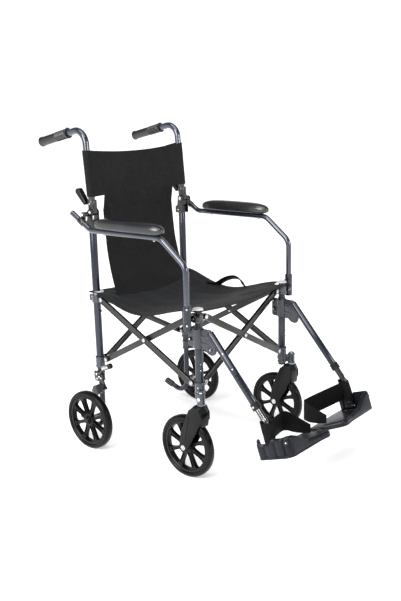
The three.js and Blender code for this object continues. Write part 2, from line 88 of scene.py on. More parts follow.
# The back's lower panel: half its width, the height where it leaves the line of the posts, and how far
# forward its foot then comes.
WAIST, SWING, FORWARD = 168, 705, 33


def V(x, y, z):
    return Vector((x, y, z))


RIGHT, LEFT = V(-1, 0, 0), V(1, 0, 0)  # the occupant's; the drawn side's outboard is RIGHT
FRONT, REAR = V(0, -1, 0), V(0, 1, 0)
UP, DOWN = V(0, 0, 1), V(0, 0, -1)


def linked(name, data):
    """An object in the scene, made from its data."""
    thing = bpy.data.objects.new(name, data)
    bpy.context.scene.collection.objects.link(thing)
    return thing


# ---------- finishes ----------
def set_stops(ramp, low, high, start, end):
    """Gives a ramp's two stops their colours and places."""
    for stop, place, colour in zip(ramp.color_ramp.elements, (start, end), (low, high)):
        stop.position, stop.color = place, (*colour, 1)


class Finish:
    """A procedural material, drawn in the object's own coordinates."""

    def __init__(self, name, roughness, metallic=0.0, coat=0.0, sheen=0.0, gloss=0.5):
        self.material = bpy.data.materials.new(name)
        self.material.use_nodes = True
        self.tree = self.material.node_tree
        self.shader = self.tree.nodes["Principled BSDF"]
        self.look(Roughness=roughness, Metallic=metallic, Coat_Weight=coat, Coat_Roughness=0.07)
        self.look(Sheen_Weight=sheen, Sheen_Roughness=0.5, Specular_IOR_Level=gloss)
        self.place = self.node("ShaderNodeTexCoord").outputs["Object"]

    def set(self, node, values):
        for key, value in values.items():
            if isinstance(value, bpy.types.NodeSocket):
                self.tree.links.new(value, node.inputs[key])
            else:
                node.inputs[key].default_value = value

    def look(self, **values):
        """Sets the shader's inputs, whose names are written with _ for a space."""
        self.set(self.shader, {key.replace("_", " "): value for key, value in values.items()})
        return self.material

    def finished(self, colour, drift, roughness):
        """The material in this colour, its roughness drifting between two values."""
        return self.look(Base_Color=colour, Roughness=self.between(self.noise(*drift), *roughness))

    def node(self, kind, values=None, **settings):
        node = self.tree.nodes.new(kind)
        for key, value in settings.items():
            setattr(node, key, value)
        self.set(node, values or {})
        return node

    def noise(self, scale, detail=4.0, place=None):
        values = {"Vector": place or self.place, "Scale": scale, "Detail": detail}
        return self.node("ShaderNodeTexNoise", values).outputs["Fac"]

    def ramp(self, fac, low, high, start=0.35, end=0.65):
        node = self.node("ShaderNodeValToRGB", {"Fac": fac})
        set_stops(node, low, high, start, end)
        return node.outputs["Color"]

    def between(self, fac, low, high):
        values = {"Value": fac, "From Min": 0.3, "From Max": 0.7, "To Min": low, "To Max": high}
        return self.node("ShaderNodeMapRange", values).outputs["Result"]

    def waves(self, direction, period):
        """Ridges from 0 to 1 across one axis, a period in millimetres apart."""
        scale = 2 * math.pi / (20 * period * MM)
        values = {"Vector": self.place, "Scale": scale, "Distortion": 0.0}
        node = self.node("ShaderNodeTexWave", values, bands_direction=direction)
        return node.outputs["Fac"]

    def maths(self, operation, a, b):
        return self.node("ShaderNodeMath", {0: a, 1: b}, operation=operation).outputs["Value"]

    def mixed(self, a, share_a, b, share_b):
        return self.maths("ADD", self.maths("MULTIPLY", a, share_a), self.maths("MULTIPLY", b, share_b))

    def bump(self, height, strength, distance):
        values = {"Height": height, "Strength": strength, "Distance": distance * MM}
        self.look(Normal=self.node("ShaderNodeBump", values).outputs["Normal"])


def painted(name, low, high, roughness=(0.24, 0.34), metallic=0.45, coat=1.0):
    """Metallic lacquer: slow shifts of shade, fine flake and a slight orange peel."""
    look = Finish(name, roughness[0], metallic, coat)
    shade = look.mixed(look.noise(9, 3), 0.6, look.noise(2600, 1), 0.4)
    look.bump(look.noise(420, 2), 0.08, 0.05)
    return look.finished(look.ramp(shade, low, high), (35,), roughness)


def hammered(name, low, high):
    """Hammer-finish enamel: shallow dimples with bright rims."""
    look = Finish(name, 0.34, 0.45, 0.8)
    cells = look.node("ShaderNodeTexVoronoi", {"Vector": look.place, "Scale": 330.0}, feature="SMOOTH_F1")
    dimples = cells.outputs["Distance"]
    look.bump(dimples, 0.3, 0.35)
    return look.finished(look.ramp(dimples, low, high, 0.1, 0.75), (60,), (0.28, 0.42))


def moulded(name, low, high, roughness=(0.38, 0.52), grain=900, depth=0.12, coat=0.0, gloss=0.5):
    """Moulded plastic: a fine spark-eroded grain under slow shifts of shade."""
    look = Finish(name, roughness[0], coat=coat, gloss=gloss)
    look.bump(look.noise(grain, 3), 0.35, depth)
    return look.finished(look.ramp(look.noise(14, 6), low, high), (90, 5), roughness)


def woven(name, low, high, across, along, period=1.3, sheen=0.04):
    """Plain-woven nylon: two sets of threads, with lighter patches over a hand's breadth that are part dust
    and part painted sheen.
    """
    look = Finish(name, 0.72, sheen=sheen, gloss=0.14)
    threads = look.maths("MAXIMUM", look.waves(across, period), look.waves(along, period * 0.9))
    # Lighter patches from slow noise: part dust, part painted sheen.
    dust_and_sheen = look.mixed(look.noise(7, 6), 0.75, threads, 0.3)
    look.bump(threads, 0.5, 0.25)
    return look.finished(look.ramp(dust_and_sheen, low, high, 0.38, 0.8), (120,), (0.62, 0.82))


def plated(name, low, high, roughness=(0.16, 0.34)):
    """Zinc-plated steel with a faint brushing."""
    look = Finish(name, roughness[0], 1.0)
    look.bump(look.noise(700, 2), 0.12, 0.05)
    return look.finished(look.ramp(look.noise(40, 4), low, high), (500, 2), roughness)


PAINT = painted("blue_grey_lacquer", (0.005, 0.0075, 0.015), (0.011, 0.0155, 0.028), (0.15, 0.22), 0.35, 0.35)
# The same blue-grey lacquer with a lighter base, as painted highlight, for the canes and armrest tubes that
# catch the light from above.
HIGHLIGHT_PAINT = painted("blue_grey_lacquer_painted_highlight", (0.026, 0.032, 0.047), (0.055, 0.064, 0.086),
                       (0.12, 0.19), 0.7)
HAMMERED = hammered("hammered_enamel", (0.011, 0.014, 0.022), (0.045, 0.052, 0.070))
BRACKET = painted("bracket_enamel", (0.007, 0.009, 0.014), (0.019, 0.023, 0.034), (0.24, 0.36), 0.3, 0.6)
BAR_EDGE = painted("bar_edge_enamel", (0.004, 0.0038, 0.0034), (0.011, 0.0105, 0.009), (0.18, 0.30), 0.2, 0.6)
BAR_FACE = painted("bar_face_enamel", (0.009, 0.0084, 0.0072), (0.022, 0.0205, 0.0178),
                   (0.26, 0.38), 0.3, 0.2)
BLACK_ENAMEL = painted("black_enamel", (0.002, 0.002, 0.0024), (0.006, 0.006, 0.007), (0.22, 0.34), 0.0, 0.3)
ZINC = plated("zinc_plate", (0.42, 0.43, 0.44), (0.72, 0.73, 0.74))
CHARCOAL = moulded("charcoal_nylon_moulding", (0.0022, 0.0023, 0.0028), (0.0055, 0.0058, 0.0068),
                   (0.18, 0.28), gloss=0.18)
PLATE_GREY = moulded("footplate_moulding", (0.0032, 0.0039, 0.0062), (0.0080, 0.0094, 0.0140),
                     (0.26, 0.36), 700, 0.03, gloss=0.22)
BLACK_PLASTIC = moulded("black_plastic", (0.002, 0.002, 0.0023), (0.006, 0.006, 0.0066),
                        (0.24, 0.36), gloss=0.3)
PALE_PLASTIC = moulded("pale_grey_plastic", (0.38, 0.39, 0.38), (0.56, 0.57, 0.55), (0.35, 0.5))
PAD_SKIN = moulded("arm_pad_skin", (0.0044, 0.0048, 0.0058), (0.0082, 0.0088, 0.0106),
                   (0.27, 0.30), 60, 0.0, 0.2, 0.8)
RUBBER = moulded("grip_rubber", (0.004, 0.004, 0.0045), (0.010, 0.010, 0.011),
                 (0.22, 0.32), 900, 0.06, 0.0, 0.7)
TYRE = moulded("tyre_rubber", (0.0018, 0.0018, 0.0021), (0.0048, 0.0048, 0.0054),
               (0.20, 0.32), 1300, 0.1, gloss=0.14)
# One nylon for seat and back: the seat's lighter colours are painted light from above, and the back's darker
# ones are painted shade.
SEAT_CLOTH_PAINTED_LIT = woven("seat_nylon_painted_lit", (0.0044, 0.0047, 0.0055), (0.0115, 0.0121, 0.0134), "X", "Y")
BACK_CLOTH_PAINTED_SHADE = woven("back_nylon_painted_shade", (0.0030, 0.0031, 0.0035), (0.0074, 0.0076, 0.0083), "X", "Z")
WEBBING = woven("heel_webbing", (0.0016, 0.0016, 0.0018), (0.0048, 0.0048, 0.0052), "Z", "Y", 2.2, 0.0)


# ---------- shapes ----------
def mirrored(half):
    """An outline or profile that is the same on both sides of zero, from its first half."""
    return [*half, *[(-a, b) for a, b in reversed(half)]]


class Shape:
    """Points on the plan, and faces that each carry a material."""

    def __init__(self, points=(), faces=(), material=None):
        self.points = [Vector(p) for p in points]
        self.faces = [tuple(face) for face in faces]
        self.materials = [material] * len(self.faces)

    def take(self, *others):
        for other in others:
            first = len(self.points)
            self.points += other.points
            self.faces += [tuple(first + i for i in face) for face in other.faces]
            self.materials += other.materials
        return self

    def moved(self, matrix):
        self.points = [matrix @ p for p in self.points]
        return self


def skin(rings, material, loop=False):
    """Joins rings of points one after another; unless they loop, both ends are capped."""
    n = len(rings[0])
    points = [p for ring in rings for p in ring]
    faces = []
    for i in range(len(rings) if loop else len(rings) - 1):
        a, b = i * n, (i + 1) % len(rings) * n
        faces += [(a + k, a + (k + 1) % n, b + (k + 1) % n, b + k) for k in range(n)]
    if not loop:
        faces += [tuple(range(n)), tuple(range(len(points) - n, len(points)))]
    return Shape(points, faces, material)


def cell(row, column, width):
    """One four-sided face of a grid of points that has width points to a row."""
    at = row * width + column
    return at, at + 1, at + width + 1, at + width


def grid(rows, width):
    return [cell(row, column, width) for row in range(rows - 1) for column in range(width - 1)]


def spun(profile, start, direction, material, sides=40, loop=False):
    """A turned shape from (distance along, radius) pairs, closed on the axis or, looped, on itself."""
    along = direction.normalized()
    across = along.orthogonal().normalized()
    third = along.cross(across)
    turns = [2 * math.pi * k / sides for k in range(sides)]
    spokes = [across * math.cos(t) + third * math.sin(t) for t in turns]
    rings = [[start + along * d + spoke * r for spoke in spokes] for d, r in profile]
    return skin(rings, material, loop)


def rod(start, end, radius, material, bore=0.0, edge=0.8, sides=36):
    """A round bar, or with a bore a tube, whose rims are eased."""
    length = (end - start).length
    soft = edge * 0.3
    rise = [(0, radius - edge), (soft, radius - soft), (edge, radius)]
    fall = [(length - d, r) for d, r in reversed(rise)]
    if bore:
        return spun([(0, bore), *rise, *fall, (length, bore)], start, end - start, material, sides, True)
    return spun([(0, 0), *rise, *fall, (length, 0)], start, end - start, material, sides)


def peg(span, y, z, radius, material, edge=0.8):
    """A round bar across the chair, from one x to another."""
    return rod(V(span[0], y, z), V(span[1], y, z), radius, material, edge=edge)


def upright(x, y, span, radius, material, bore=0.0, edge=0.8):
    """A round bar or tube from one height to another."""
    return rod(V(x, y, span[0]), V(x, y, span[1]), radius, material, bore, edge)


def around(middle, half):
    return middle - half, middle + half


def dome(at, direction, radius, height=None, material=ZINC):
    """A rivet or button head."""
    height = height or radius * 0.55
    curve = [(height * math.sin(t), radius * math.cos(t)) for t in np.linspace(0, math.pi / 2, 6)]
    return spun([(-1.0, 0), (-1.0, radius), *curve], at, direction, material, 20)


def bolt(at, direction, radius, washer=True):
    """A zinc hexagon head, on its washer or bare."""
    profile = [(0, 0), (0, radius), (radius * 0.75, radius), (radius * 0.9, radius * 0.8), (radius * 0.9, 0)]
    head = spun(profile, at, direction, ZINC, 6)
    along = direction.normalized()
    if washer:
        head.take(rod(at - along * 0.2, at + along * 1.0, radius * 1.45, ZINC, edge=0.3))
    return head


def bent(corners, radii, turn=math.pi / 24):
    """The corners of a path, with each inner corner turned into an arc."""
    path = [corners[0]]
    for before, corner, after, radius in zip(corners, corners[1:], corners[2:], radii):
        back, ahead = (before - corner).normalized(), (after - corner).normalized()
        bend = math.pi - back.angle(ahead)
        reach = radius * math.tan(bend / 2)
        centre = corner + (back + ahead).normalized() * (radius / math.cos(bend / 2))
        arm, far = corner + back * reach - centre, corner + ahead * reach - centre
        axis = arm.cross(far).normalized()
        steps = max(2, math.ceil(bend / turn))
        path += [centre + Matrix.Rotation(bend * k / steps, 3, axis) @ arm for k in range(steps + 1)]
    return [*path, corners[-1]]


def smooth_path(points, per_span=8):
    """A Catmull-Rom curve through given points."""
    ends = [points[0] * 2 - points[1], *points, points[-1] * 2 - points[-2]]
    path = []
    for p0, p1, p2, p3 in zip(ends, ends[1:], ends[2:], ends[3:]):
        for t in np.linspace(0, 1, per_span, endpoint=False):
            path.append(((p1 * 2) + (p2 - p0) * t + (p0 * 2 - p1 * 5 + p2 * 4 - p3) * t * t
                         + (p1 * 3 - p0 - p2 * 3 + p3) * t ** 3) / 2)
    return [*path, points[-1]]


def directions(path):
    steps = [(b - a).normalized() for a, b in zip(path, path[1:])]
    return [steps[0], *[(a + b).normalized() for a, b in zip(steps, steps[1:])], steps[-1]]


def swept(path, section, material, up=None):
    """A section of (across, over) points carried along a path, its over side kept towards up."""
    rings = []
    for point, along in zip(path, directions(path)):
        guide = up or LEFT
        over = (guide - along * guide.dot(along)).normalized()
        across = along.cross(over)
        rings.append([point + across * a + over * b for a, b in section])
    return skin(rings, material)


def tube(path, radius, material, sides=32, edge=0.8):
    """A bent round tube with eased ends."""
    start, end = directions(path)[0], directions(path)[-1]
    circle = [(math.cos(2 * math.pi * k / sides), math.sin(2 * math.pi * k / sides)) for k in range(sides)]
    path = [path[0], path[0] + start * edge, *path[1:-1], path[-1] - end * edge, path[-1]]
    shape = swept(path, [(a * radius, b * radius) for a, b in circle], material)
    for ring, point in ((0, path[0]), (len(path) - 1, path[-1])):
        for k in range(ring * sides, (ring + 1) * sides):
            shape.points[k] = point + (shape.points[k] - point) * ((radius - edge) / radius)
    return shape


def slab(outline, normal, span, material, holes=(), edge=0.8, fine=2):
    """A flat plate with eased edges. Its outline lies across normal: x (y, z), y (x, z) or z (x, y)."""
    curve = bpy.data.curves.new("outline", "CURVE")
    curve.dimensions, curve.fill_mode = "2D", "BOTH"
    curve.extrude = (span[1] - span[0]) / 2 - edge
    curve.bevel_depth, curve.bevel_resolution, curve.offset = edge, fine, -edge
    for ring in (outline, *holes):
        spline = curve.splines.new("POLY")
        spline.points.add(len(ring) - 1)
        spline.points.foreach_set("co", [c for a, b in ring for c in (a, b, 0, 1)])
        spline.use_cyclic_u = True
    maker = bpy.data.objects.new("outline", curve)
    mesh = bpy.data.meshes.new_from_object(maker)
    middle = (span[0] + span[1]) / 2
    place = {"x": lambda p: (p.z + middle, p.x, p.y), "y": lambda p: (p.x, p.z + middle, p.y),
             "z": lambda p: (p.x, p.y, p.z + middle)}[normal]
    shape = Shape([place(v.co) for v in mesh.vertices], [f.vertices for f in mesh.polygons], material)
    bpy.data.objects.remove(maker)
    bpy.data.curves.remove(curve)
    bpy.data.meshes.remove(mesh)
    return shape


def arc(a, b, radius, start, end, steps=12):
    turns = [math.radians(start + (end - start) * i / steps) for i in range(steps + 1)]
    return [(a + radius * math.cos(t), b + radius * math.sin(t)) for t in turns]


def ring_at(a, b, radius, steps=20):
    return arc(a, b, radius, 0, 360 - 360 / steps, steps - 1)


def build(name, shape, body, nodes=(), mirror=False, sharp=34):
    """Makes the object, in metres in the frame, and lets it ride on its body."""
    flip = -1 if mirror else 1
    mesh = bpy.data.meshes.new(name)
    places = [(flip * p.x * MM, (p.y + PLAN_Y) * MM, p.z * MM) for p in shape.points]
    mesh.from_pydata(places, [], shape.faces)
    used = list(dict.fromkeys(shape.materials))
    for material in used:
        mesh.materials.append(material)
    mesh.polygons.foreach_set("material_index", [used.index(m) for m in shape.materials])
    work = bmesh.new()
    work.from_mesh(mesh)
    bmesh.ops.remove_doubles(work, verts=work.verts, dist=2e-6)
    bmesh.ops.recalc_face_normals(work, faces=work.faces)
    work.to_mesh(mesh)
    work.free()
    mesh.shade_smooth()
    mesh.set_sharp_from_angle(angle=math.radians(sharp))
    piece = linked(name, mesh)
    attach(piece, body)
    if nodes:
        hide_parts(*nodes)
    return piece


def pair(part, shape, body, node=None, sharp=34):
    """The right piece and its mirror image. SIDE in a name stands for right or left."""
    made = []
    for side in SIDES:
        rides_on, stands_for = body.replace("SIDE", side), (node or f"{part}_SIDE").replace("SIDE", side)
        made.append(build(f"fine_{part}_{side}", shape, rides_on, [stands_for], side == "left", sharp))
    return made


# ---------- frame ----------
def frame_sleeve(x, y, span, bore, radius=SLEEVE):
    """A cast collar with thicker rims."""
    low, high = span
    h = high - low
    rim = [(0, bore), (0, radius - 1.5), (0.5, radius - 0.5), (1.5, radius), (5, radius), (6.5, radius - 1.2)]
    profile = [*rim, *[(h - d, r) for d, r in reversed(rim)]]
    return spun(profile, V(x, y, low), UP, HAMMERED, 48, True)


def ear_along_x(x, y, z):
    outline = [(14, z - 9.5), *arc(PIVOT_INSET, z, 9.5, -90, 90), (14, z + 9.5)]
    plate = slab(outline, "y", (-1.5, 1.5), HAMMERED, [ring_at(PIVOT_INSET, z, 4.6)], 0.5)
    return plate.moved(Matrix.Translation((x, y, 0)))


def knuckle(y, span, z, bore):
    """A collar with an ear reaching along each side of the chair."""
    toward = -1 if y > 0 else 1
    side_ear = ear_along_x(0, 0, z).moved(Matrix.Rotation(toward * math.pi / 2, 4, "Z"))
    side_ear.moved(Matrix.Translation((-AT, y, 0)))
    return frame_sleeve(-AT, y, span, bore).take(ear_along_x(-AT, y, z), side_ear)


def corner_bolts(y, z):
    """Two socket screws that clamp a knuckle to its post, on the outboard side."""
    out = V(-1, 0.35 if y > 0 else -0.35, 0).normalized()
    spot = V(-AT, y, 0) + out * (SLEEVE - 1.0)
    return Shape().take(*[bolt(spot + V(0, 0, z + dz), out, 2.6, False) for dz in (-8, 6)])


STOP_Z = 474


def make_posts():
    """Each rear post has a rubber stop, and each front post two spring buttons."""
    stop = rod(V(-AT, AT - TUBE + 2, STOP_Z), V(-AT, AT - TUBE - 5, STOP_Z), 4.5, BLACK_PLASTIC)
    stop.take(dome(V(-AT, AT - TUBE - 5, STOP_Z), FRONT, 3.4, material=BLACK_PLASTIC))
    rear = upright(-AT, AT, REAR_POST, TUBE, PAINT, POST_BORE)
    pair("rear_post", rear.take(stop), "rear_SIDE_frame")
    front = upright(-AT, -AT, FRONT_POST, TUBE, PAINT, POST_BORE)
    for z in (352, 372):
        front.take(dome(V(-AT, -AT, z) + V(-0.5, -0.87, 0) * TUBE, V(-0.5, -0.87, 0), 1.8))
    pair("front_post", front, "front_SIDE_frame")


LINER, LINER_TURN, LINER_SPAN = 18.3, 138, (532, 541.6)  # radius, half its turn in degrees, and heights


def crescent(x, y, towards):
    """The pale liner between a post and the wider hole of the seat, which is off to one side of it."""
    middle = V(x, y, 0) + towards * HOLE_SHIFT
    start = math.degrees(math.atan2(towards.y, towards.x))
    outer = [V(a, b, 0) for a, b in arc(middle.x, middle.y, LINER, *around(start, LINER_TURN), 40)]
    inner = [V(x, y, 0) + (p - V(x, y, 0)).normalized() * SLEEVE_BORE for p in reversed(outer)]
    return slab([(p.x, p.y) for p in (*outer, *inner)], "z", LINER_SPAN, PALE_PLASTIC, edge=0.6)


def rear_lug():
    """The boss behind the upper sleeve."""
    outline = [(-AT - 10, AT + 12), (-AT + 10, AT + 12), (-AT + 8, AT + 27), (-AT - 8, AT + 27)]
    return slab(outline, "z", (506, 528), HAMMERED, edge=2.2, fine=3)


BOSS_AT = V(-235, -230, 520)


def make_rear_knuckles():
    low = knuckle(AT, LOW_SLEEVE, LOW_PIVOT, SLEEVE_BORE).take(corner_bolts(AT, LOW_BOLTS))
    pair("rear_lower_knuckle", low, "rear_SIDE_frame")
    high = knuckle(AT, HIGH_SLEEVE, HIGH_PIVOT, SLEEVE_BORE).take(corner_bolts(AT, HIGH_BOLTS))
    high.take(crescent(-AT, AT, V(1, -1, 0)), rear_lug())
    pair("rear_upper_knuckle", high, "rear_SIDE_slider")


def make_front_knuckles():
    """The lower one also holds the caster's stem, and the upper one stands on the inner tube."""
    foot = knuckle(-AT, LOW_SLEEVE, LOW_PIVOT, SLEEVE_BORE).take(corner_bolts(-AT, LOW_BOLTS))
    foot.take(frame_sleeve(-AT, -AT, (258, 275), SLEEVE_BORE, SLEEVE - 1))
    foot.take(frame_sleeve(-CASTER_X, STEM_Y, (253, 288), 7.1, 12.5))
    web = slab([(-11, -5), (11, -5), (11, 5), (-11, 5)], "z", (259, 284), HAMMERED, edge=1.5)
    web.moved(Matrix.Rotation(math.pi / 4, 4, "Z"))
    foot.take(web.moved(Matrix.Translation((-AT - 12, -AT - 12, 0))))
    foot.take(bolt(V(-CASTER_X - 11.6, STEM_Y, 270), RIGHT, 4.2))
    pair("front_lower_knuckle", foot, "front_SIDE_frame")

    head = upright(-AT, -AT, (256, 543), 10.8, BLACK_ENAMEL, 9)
    head.take(knuckle(-AT, HIGH_SLEEVE, HIGH_PIVOT, 9.8), corner_bolts(-AT, HIGH_BOLTS))
    head.take(spun([(0, 0), (0, 15.5), (1.2, 16.4), (3.6, 16.0), (5.0, 13.0), (5.4, 0)],
                   V(-AT, -AT, 541.5), UP, PALE_PLASTIC))
    boss = [(0, 0), (0, 11.5), (17.4, 11.5), (18.4, 10.6), (18.4, 7.6), (16.8, 7.2), (16.8, 4.4), (18.2, 4.0),
            (18.2, 0)]
    head.take(spun(boss, BOSS_AT, RIGHT, BLACK_ENAMEL))
    head.take(dome(BOSS_AT + RIGHT * 18.0, RIGHT, 2.4, 0.8))
    pair("front_upper_knuckle", head, "front_SIDE_slider")


# ---------- cross bars ----------
BAR_HALF_WIDTH, BAR_HALF_THICK, BAR_LAYER = 10, 4.7, 6.8
BAR_SPAN = AT - PIVOT_INSET
BAR_LENGTH = math.hypot(2 * BAR_SPAN, HIGH_PIVOT - LOW_PIVOT)
BAR_SLOPE = math.atan2(HIGH_PIVOT - LOW_PIVOT, 2 * BAR_SPAN)


def stadium(radius):
    return [*arc(BAR_LENGTH, 0, radius, -90, 90), *arc(0, 0, radius, 90, 270)]


def cross_bar(holds_crossing):
    """A pressed channel along +x: a sunk web inside a raised rim, with riveted ends."""
    shape = slab(stadium(BAR_HALF_WIDTH - 1), "z", (-3.0, 3.0), BAR_FACE, edge=0.3)
    rim = (-BAR_HALF_THICK, BAR_HALF_THICK)
    shape.take(slab(stadium(BAR_HALF_WIDTH), "z", rim, BAR_EDGE, [stadium(6.9)], 0.9))
    ear_side = BAR_LAYER + 1.9
    for x in (0, BAR_LENGTH):
        shape.take(upright(x, 0, (4.4, -ear_side), 4, ZINC, edge=0.4))
        shape.take(upright(x, 0, (-ear_side, -ear_side - 2), 7, ZINC, edge=0.6))
        shape.take(upright(x, 0, (2.8, 4.2), 7.2, ZINC, edge=0.4))
        shape.take(dome(V(x, 0, 4.2), UP, 5.0, 1.4))
    middle = BAR_LENGTH / 2
    if holds_crossing:
        shape.take(upright(middle, 0, (2, -2 * BAR_LAYER + 5.1), 7.8, BAR_EDGE))
        shape.take(upright(middle, 0, (-2, -2 * BAR_LAYER - 5.1), 4, ZINC, edge=0.4))
        shape.take(upright(middle, 0, (-2 * BAR_LAYER - 5.1, -2 * BAR_LAYER - 6.2), 6.6, ZINC, edge=0.3))
        shape.take(dome(V(middle, 0, -2 * BAR_LAYER - 6.2), DOWN, 4.6, 1.3))
        shape.take(dome(V(middle, 0, 3.0), UP, 4.6, 1.8))
    return shape


def placed(shape, low, run, face):
    """Lays a bar from its low pivot, rising along run, with its face one layer out."""
    along = run * math.cos(BAR_SLOPE) + UP * math.sin(BAR_SLOPE)
    across = face.cross(along)
    turn = Matrix((along, across, face)).transposed().to_4x4()
    return shape.moved(Matrix.Translation(low + face * BAR_LAYER) @ turn)


def crossed_pair(centre, run, inward):
    """The bar on the inner side, which holds the crossing pin, and the one on the outer side."""
    base = V(centre.x, centre.y, LOW_PIVOT)
    inner = placed(cross_bar(True), base - run * BAR_SPAN, run, inward)
    outer = placed(cross_bar(False), base + run * BAR_SPAN, -run, -inward)
    return {"inner": inner, "outer": outer}


def make_cross_bars():
    for layer, shape in crossed_pair(V(-AT, 0, 0), FRONT, LEFT).items():
        pair(f"side_bar_{layer}", shape, f"SIDE_{layer}_bar", f"cross_bar_SIDE_{layer}")
    for place, y, inward in (("rear", AT, FRONT), ("front", -AT, REAR)):
        for layer, shape in crossed_pair(V(0, y, 0), LEFT, inward).items():
            node = f"cross_bar_{place}_{layer}"
            build(f"fine_{node}", shape, f"{place}_{layer}_bar", [node])


# ---------- wheels ----------
def wheel_tyre(x, y):
    hub_at = V(x, y, WHEEL)
    wall = [(10.0, 86.4), (12.4, 89.0), (13.0, 93.0), (12.4, 96.5), (10.4, 99.3), (7.0, 101.0), (3.0, WHEEL)]
    tread = spun(mirrored(wall), hub_at, LEFT, TYRE, 96, True)
    for side in (-1, 1):
        bead = ((10.6, 88.6), (12.0, 88.3), (12.7, 89.6), (12.3, 91.0), (10.8, 91.2))
        tread.take(spun([(side * a, r) for a, r in bead], hub_at, LEFT, TYRE, 96, True))
    return tread


SPOKES, RIB = 8, 2.2  # how many, and the width of the raised rib round each


def wheel_rim(x, y):
    """The felloe, the hub and eight ribbed spokes of one moulding."""
    hub_at = V(x, y, WHEEL)
    felloe = [*mirrored([(9.2, 76.6), (10.6, 78.4), (10.6, 83.4), (9.6, 85.9)]), (-3.0, 75.2), (3.0, 75.2)]
    shape = spun(felloe, hub_at, LEFT, CHARCOAL, 96, True)
    hub = mirrored([(-15, 6.2), (-15, 12.0), (-14, 13.4), (-9, 14.6), (-7, 18.5)])
    shape.take(spun(hub, hub_at, LEFT, CHARCOAL, 48, True))
    widths = [(13, 9.0), (22, 6.6), (38, 5.2), (56, 5.6), (68, 7.4), (77.5, 12.0)]
    outline = mirrored([(-w, r) for r, w in widths])
    inner = mirrored([(RIB - w, r) for r, w in widths[1:-1]])
    for k in range(SPOKES):
        spoke = slab(outline, "x", (-4.0, 4.0), CHARCOAL, edge=1.0)
        spoke.take(slab(outline, "x", (-7.5, 7.5), CHARCOAL, [inner], 0.9))
        turn = Matrix.Rotation(2 * math.pi * (k + 0.5) / SPOKES, 4, "X")
        shape.take(spoke.moved(Matrix.Translation(hub_at) @ turn))
    return shape


def make_wheels():
    for kind, x, y in (("rear", REAR_WHEEL_X, AT), ("caster", CASTER_X, CASTER_Y)):
        body, node = f"SIDE_{kind}_wheel", f"{kind}_wheel_SIDE"
        pair(f"{kind}_tyre", wheel_tyre(-x, y), body, f"{node}_tyre")
        pair(f"{kind}_rim", wheel_rim(-x, y), body, f"{node}_rim")
    end = V(-REAR_WHEEL_X, AT, WHEEL)
    axle = rod(V(-AT - 9.8, AT, WHEEL), end + RIGHT * -15.4, 10, ZINC)
    axle.take(rod(V(-240, AT, WHEEL), end + RIGHT * 17, 5.8, ZINC))
    axle.take(spun([(0, 0), (0, 9.4), (3.2, 9.4), (4.2, 8.2), (4.5, 5.2), (3.6, 4.6), (3.6, 0)],
                   end + RIGHT * 15.4, RIGHT, BLACK_PLASTIC))
    axle.take(bolt(V(-AT + 9.2, AT, WHEEL), LEFT, 6.0))
    pair("rear_axle", axle, "rear_SIDE_frame")


def caster_fork():
    """Two legs and a crown in one moulding, with the stem and the axle bolt."""
    x, y = -CASTER_X, CASTER_Y
    leg = [(-261, 226), (-250, 246), (-230, 246), (-211, 231), (-176, 150),
           *arc(y, WHEEL, 17.5, 20, -170, 16), (-262, 204)]
    crown = [(-262, 203), (-259, 236), (-250, 249), (-230, 249), (-214, 234), (-200, 212),
             *arc(y, WHEEL, 109, 100, 132, 8)]
    shape = slab(crown, "x", (x - 19, x + 19), CHARCOAL, edge=5, fine=4)
    for side in (-1, 1):
        spans = sorted((x + side * 15.7, x + side * 22.9))
        shape.take(slab(leg, "x", spans, CHARCOAL, edge=2.8, fine=4))
        rib = [(-214, 214), (-204, 205), (y - 2, 128), (y - 9, 124)]
        rib_span = sorted((x + side * 22.0, x + side * 24.0))
        shape.take(slab(rib, "x", rib_span, CHARCOAL, edge=0.9))
        shape.take(spun([(0, 0), (0, 8.6), (1.2, 8.6), (1.8, 7.6), (1.8, 5.2), (1.0, 4.6), (1.0, 0)],
                        V(x + side * 22.6, y, WHEEL), V(side, 0, 0), ZINC))
        shape.take(dome(V(x + side * 23.4, y, WHEEL), V(side, 0, 0), 3.2, 1.2))
    shape.take(spun([(0, 0), (0, 19.5), (4, 18.6), (12, 14.8), (20, 13.4), (22, 12.2), (22, 0)],
                    V(x, STEM_Y, 229), UP, CHARCOAL))
    shape.take(upright(x, STEM_Y, (248, 292), 6.5, ZINC))
    shape.take(upright(x, STEM_Y, (250.6, 252.6), 12.6, ZINC, edge=0.5))
    shape.take(spun([(0, 0), (0, 9), (1.5, 9.8), (3.2, 8.6), (4.6, 5.0), (5.0, 0)],
                    V(x, STEM_Y, 288.4), UP, ZINC))
    shape.take(peg((x - 22, x + 22), y, WHEEL, 5.8, ZINC))
    return shape


# ---------- tipping levers and wheel locks ----------
LEVER_RADIUS, LEVER_CORNER, LEVER_BEND = 9.5, 36, 42
LEVER_END = V(-AT, 297, 63.2)
LOCK_PIVOT, SHOE_PIN = (204, 248), (178, 212)


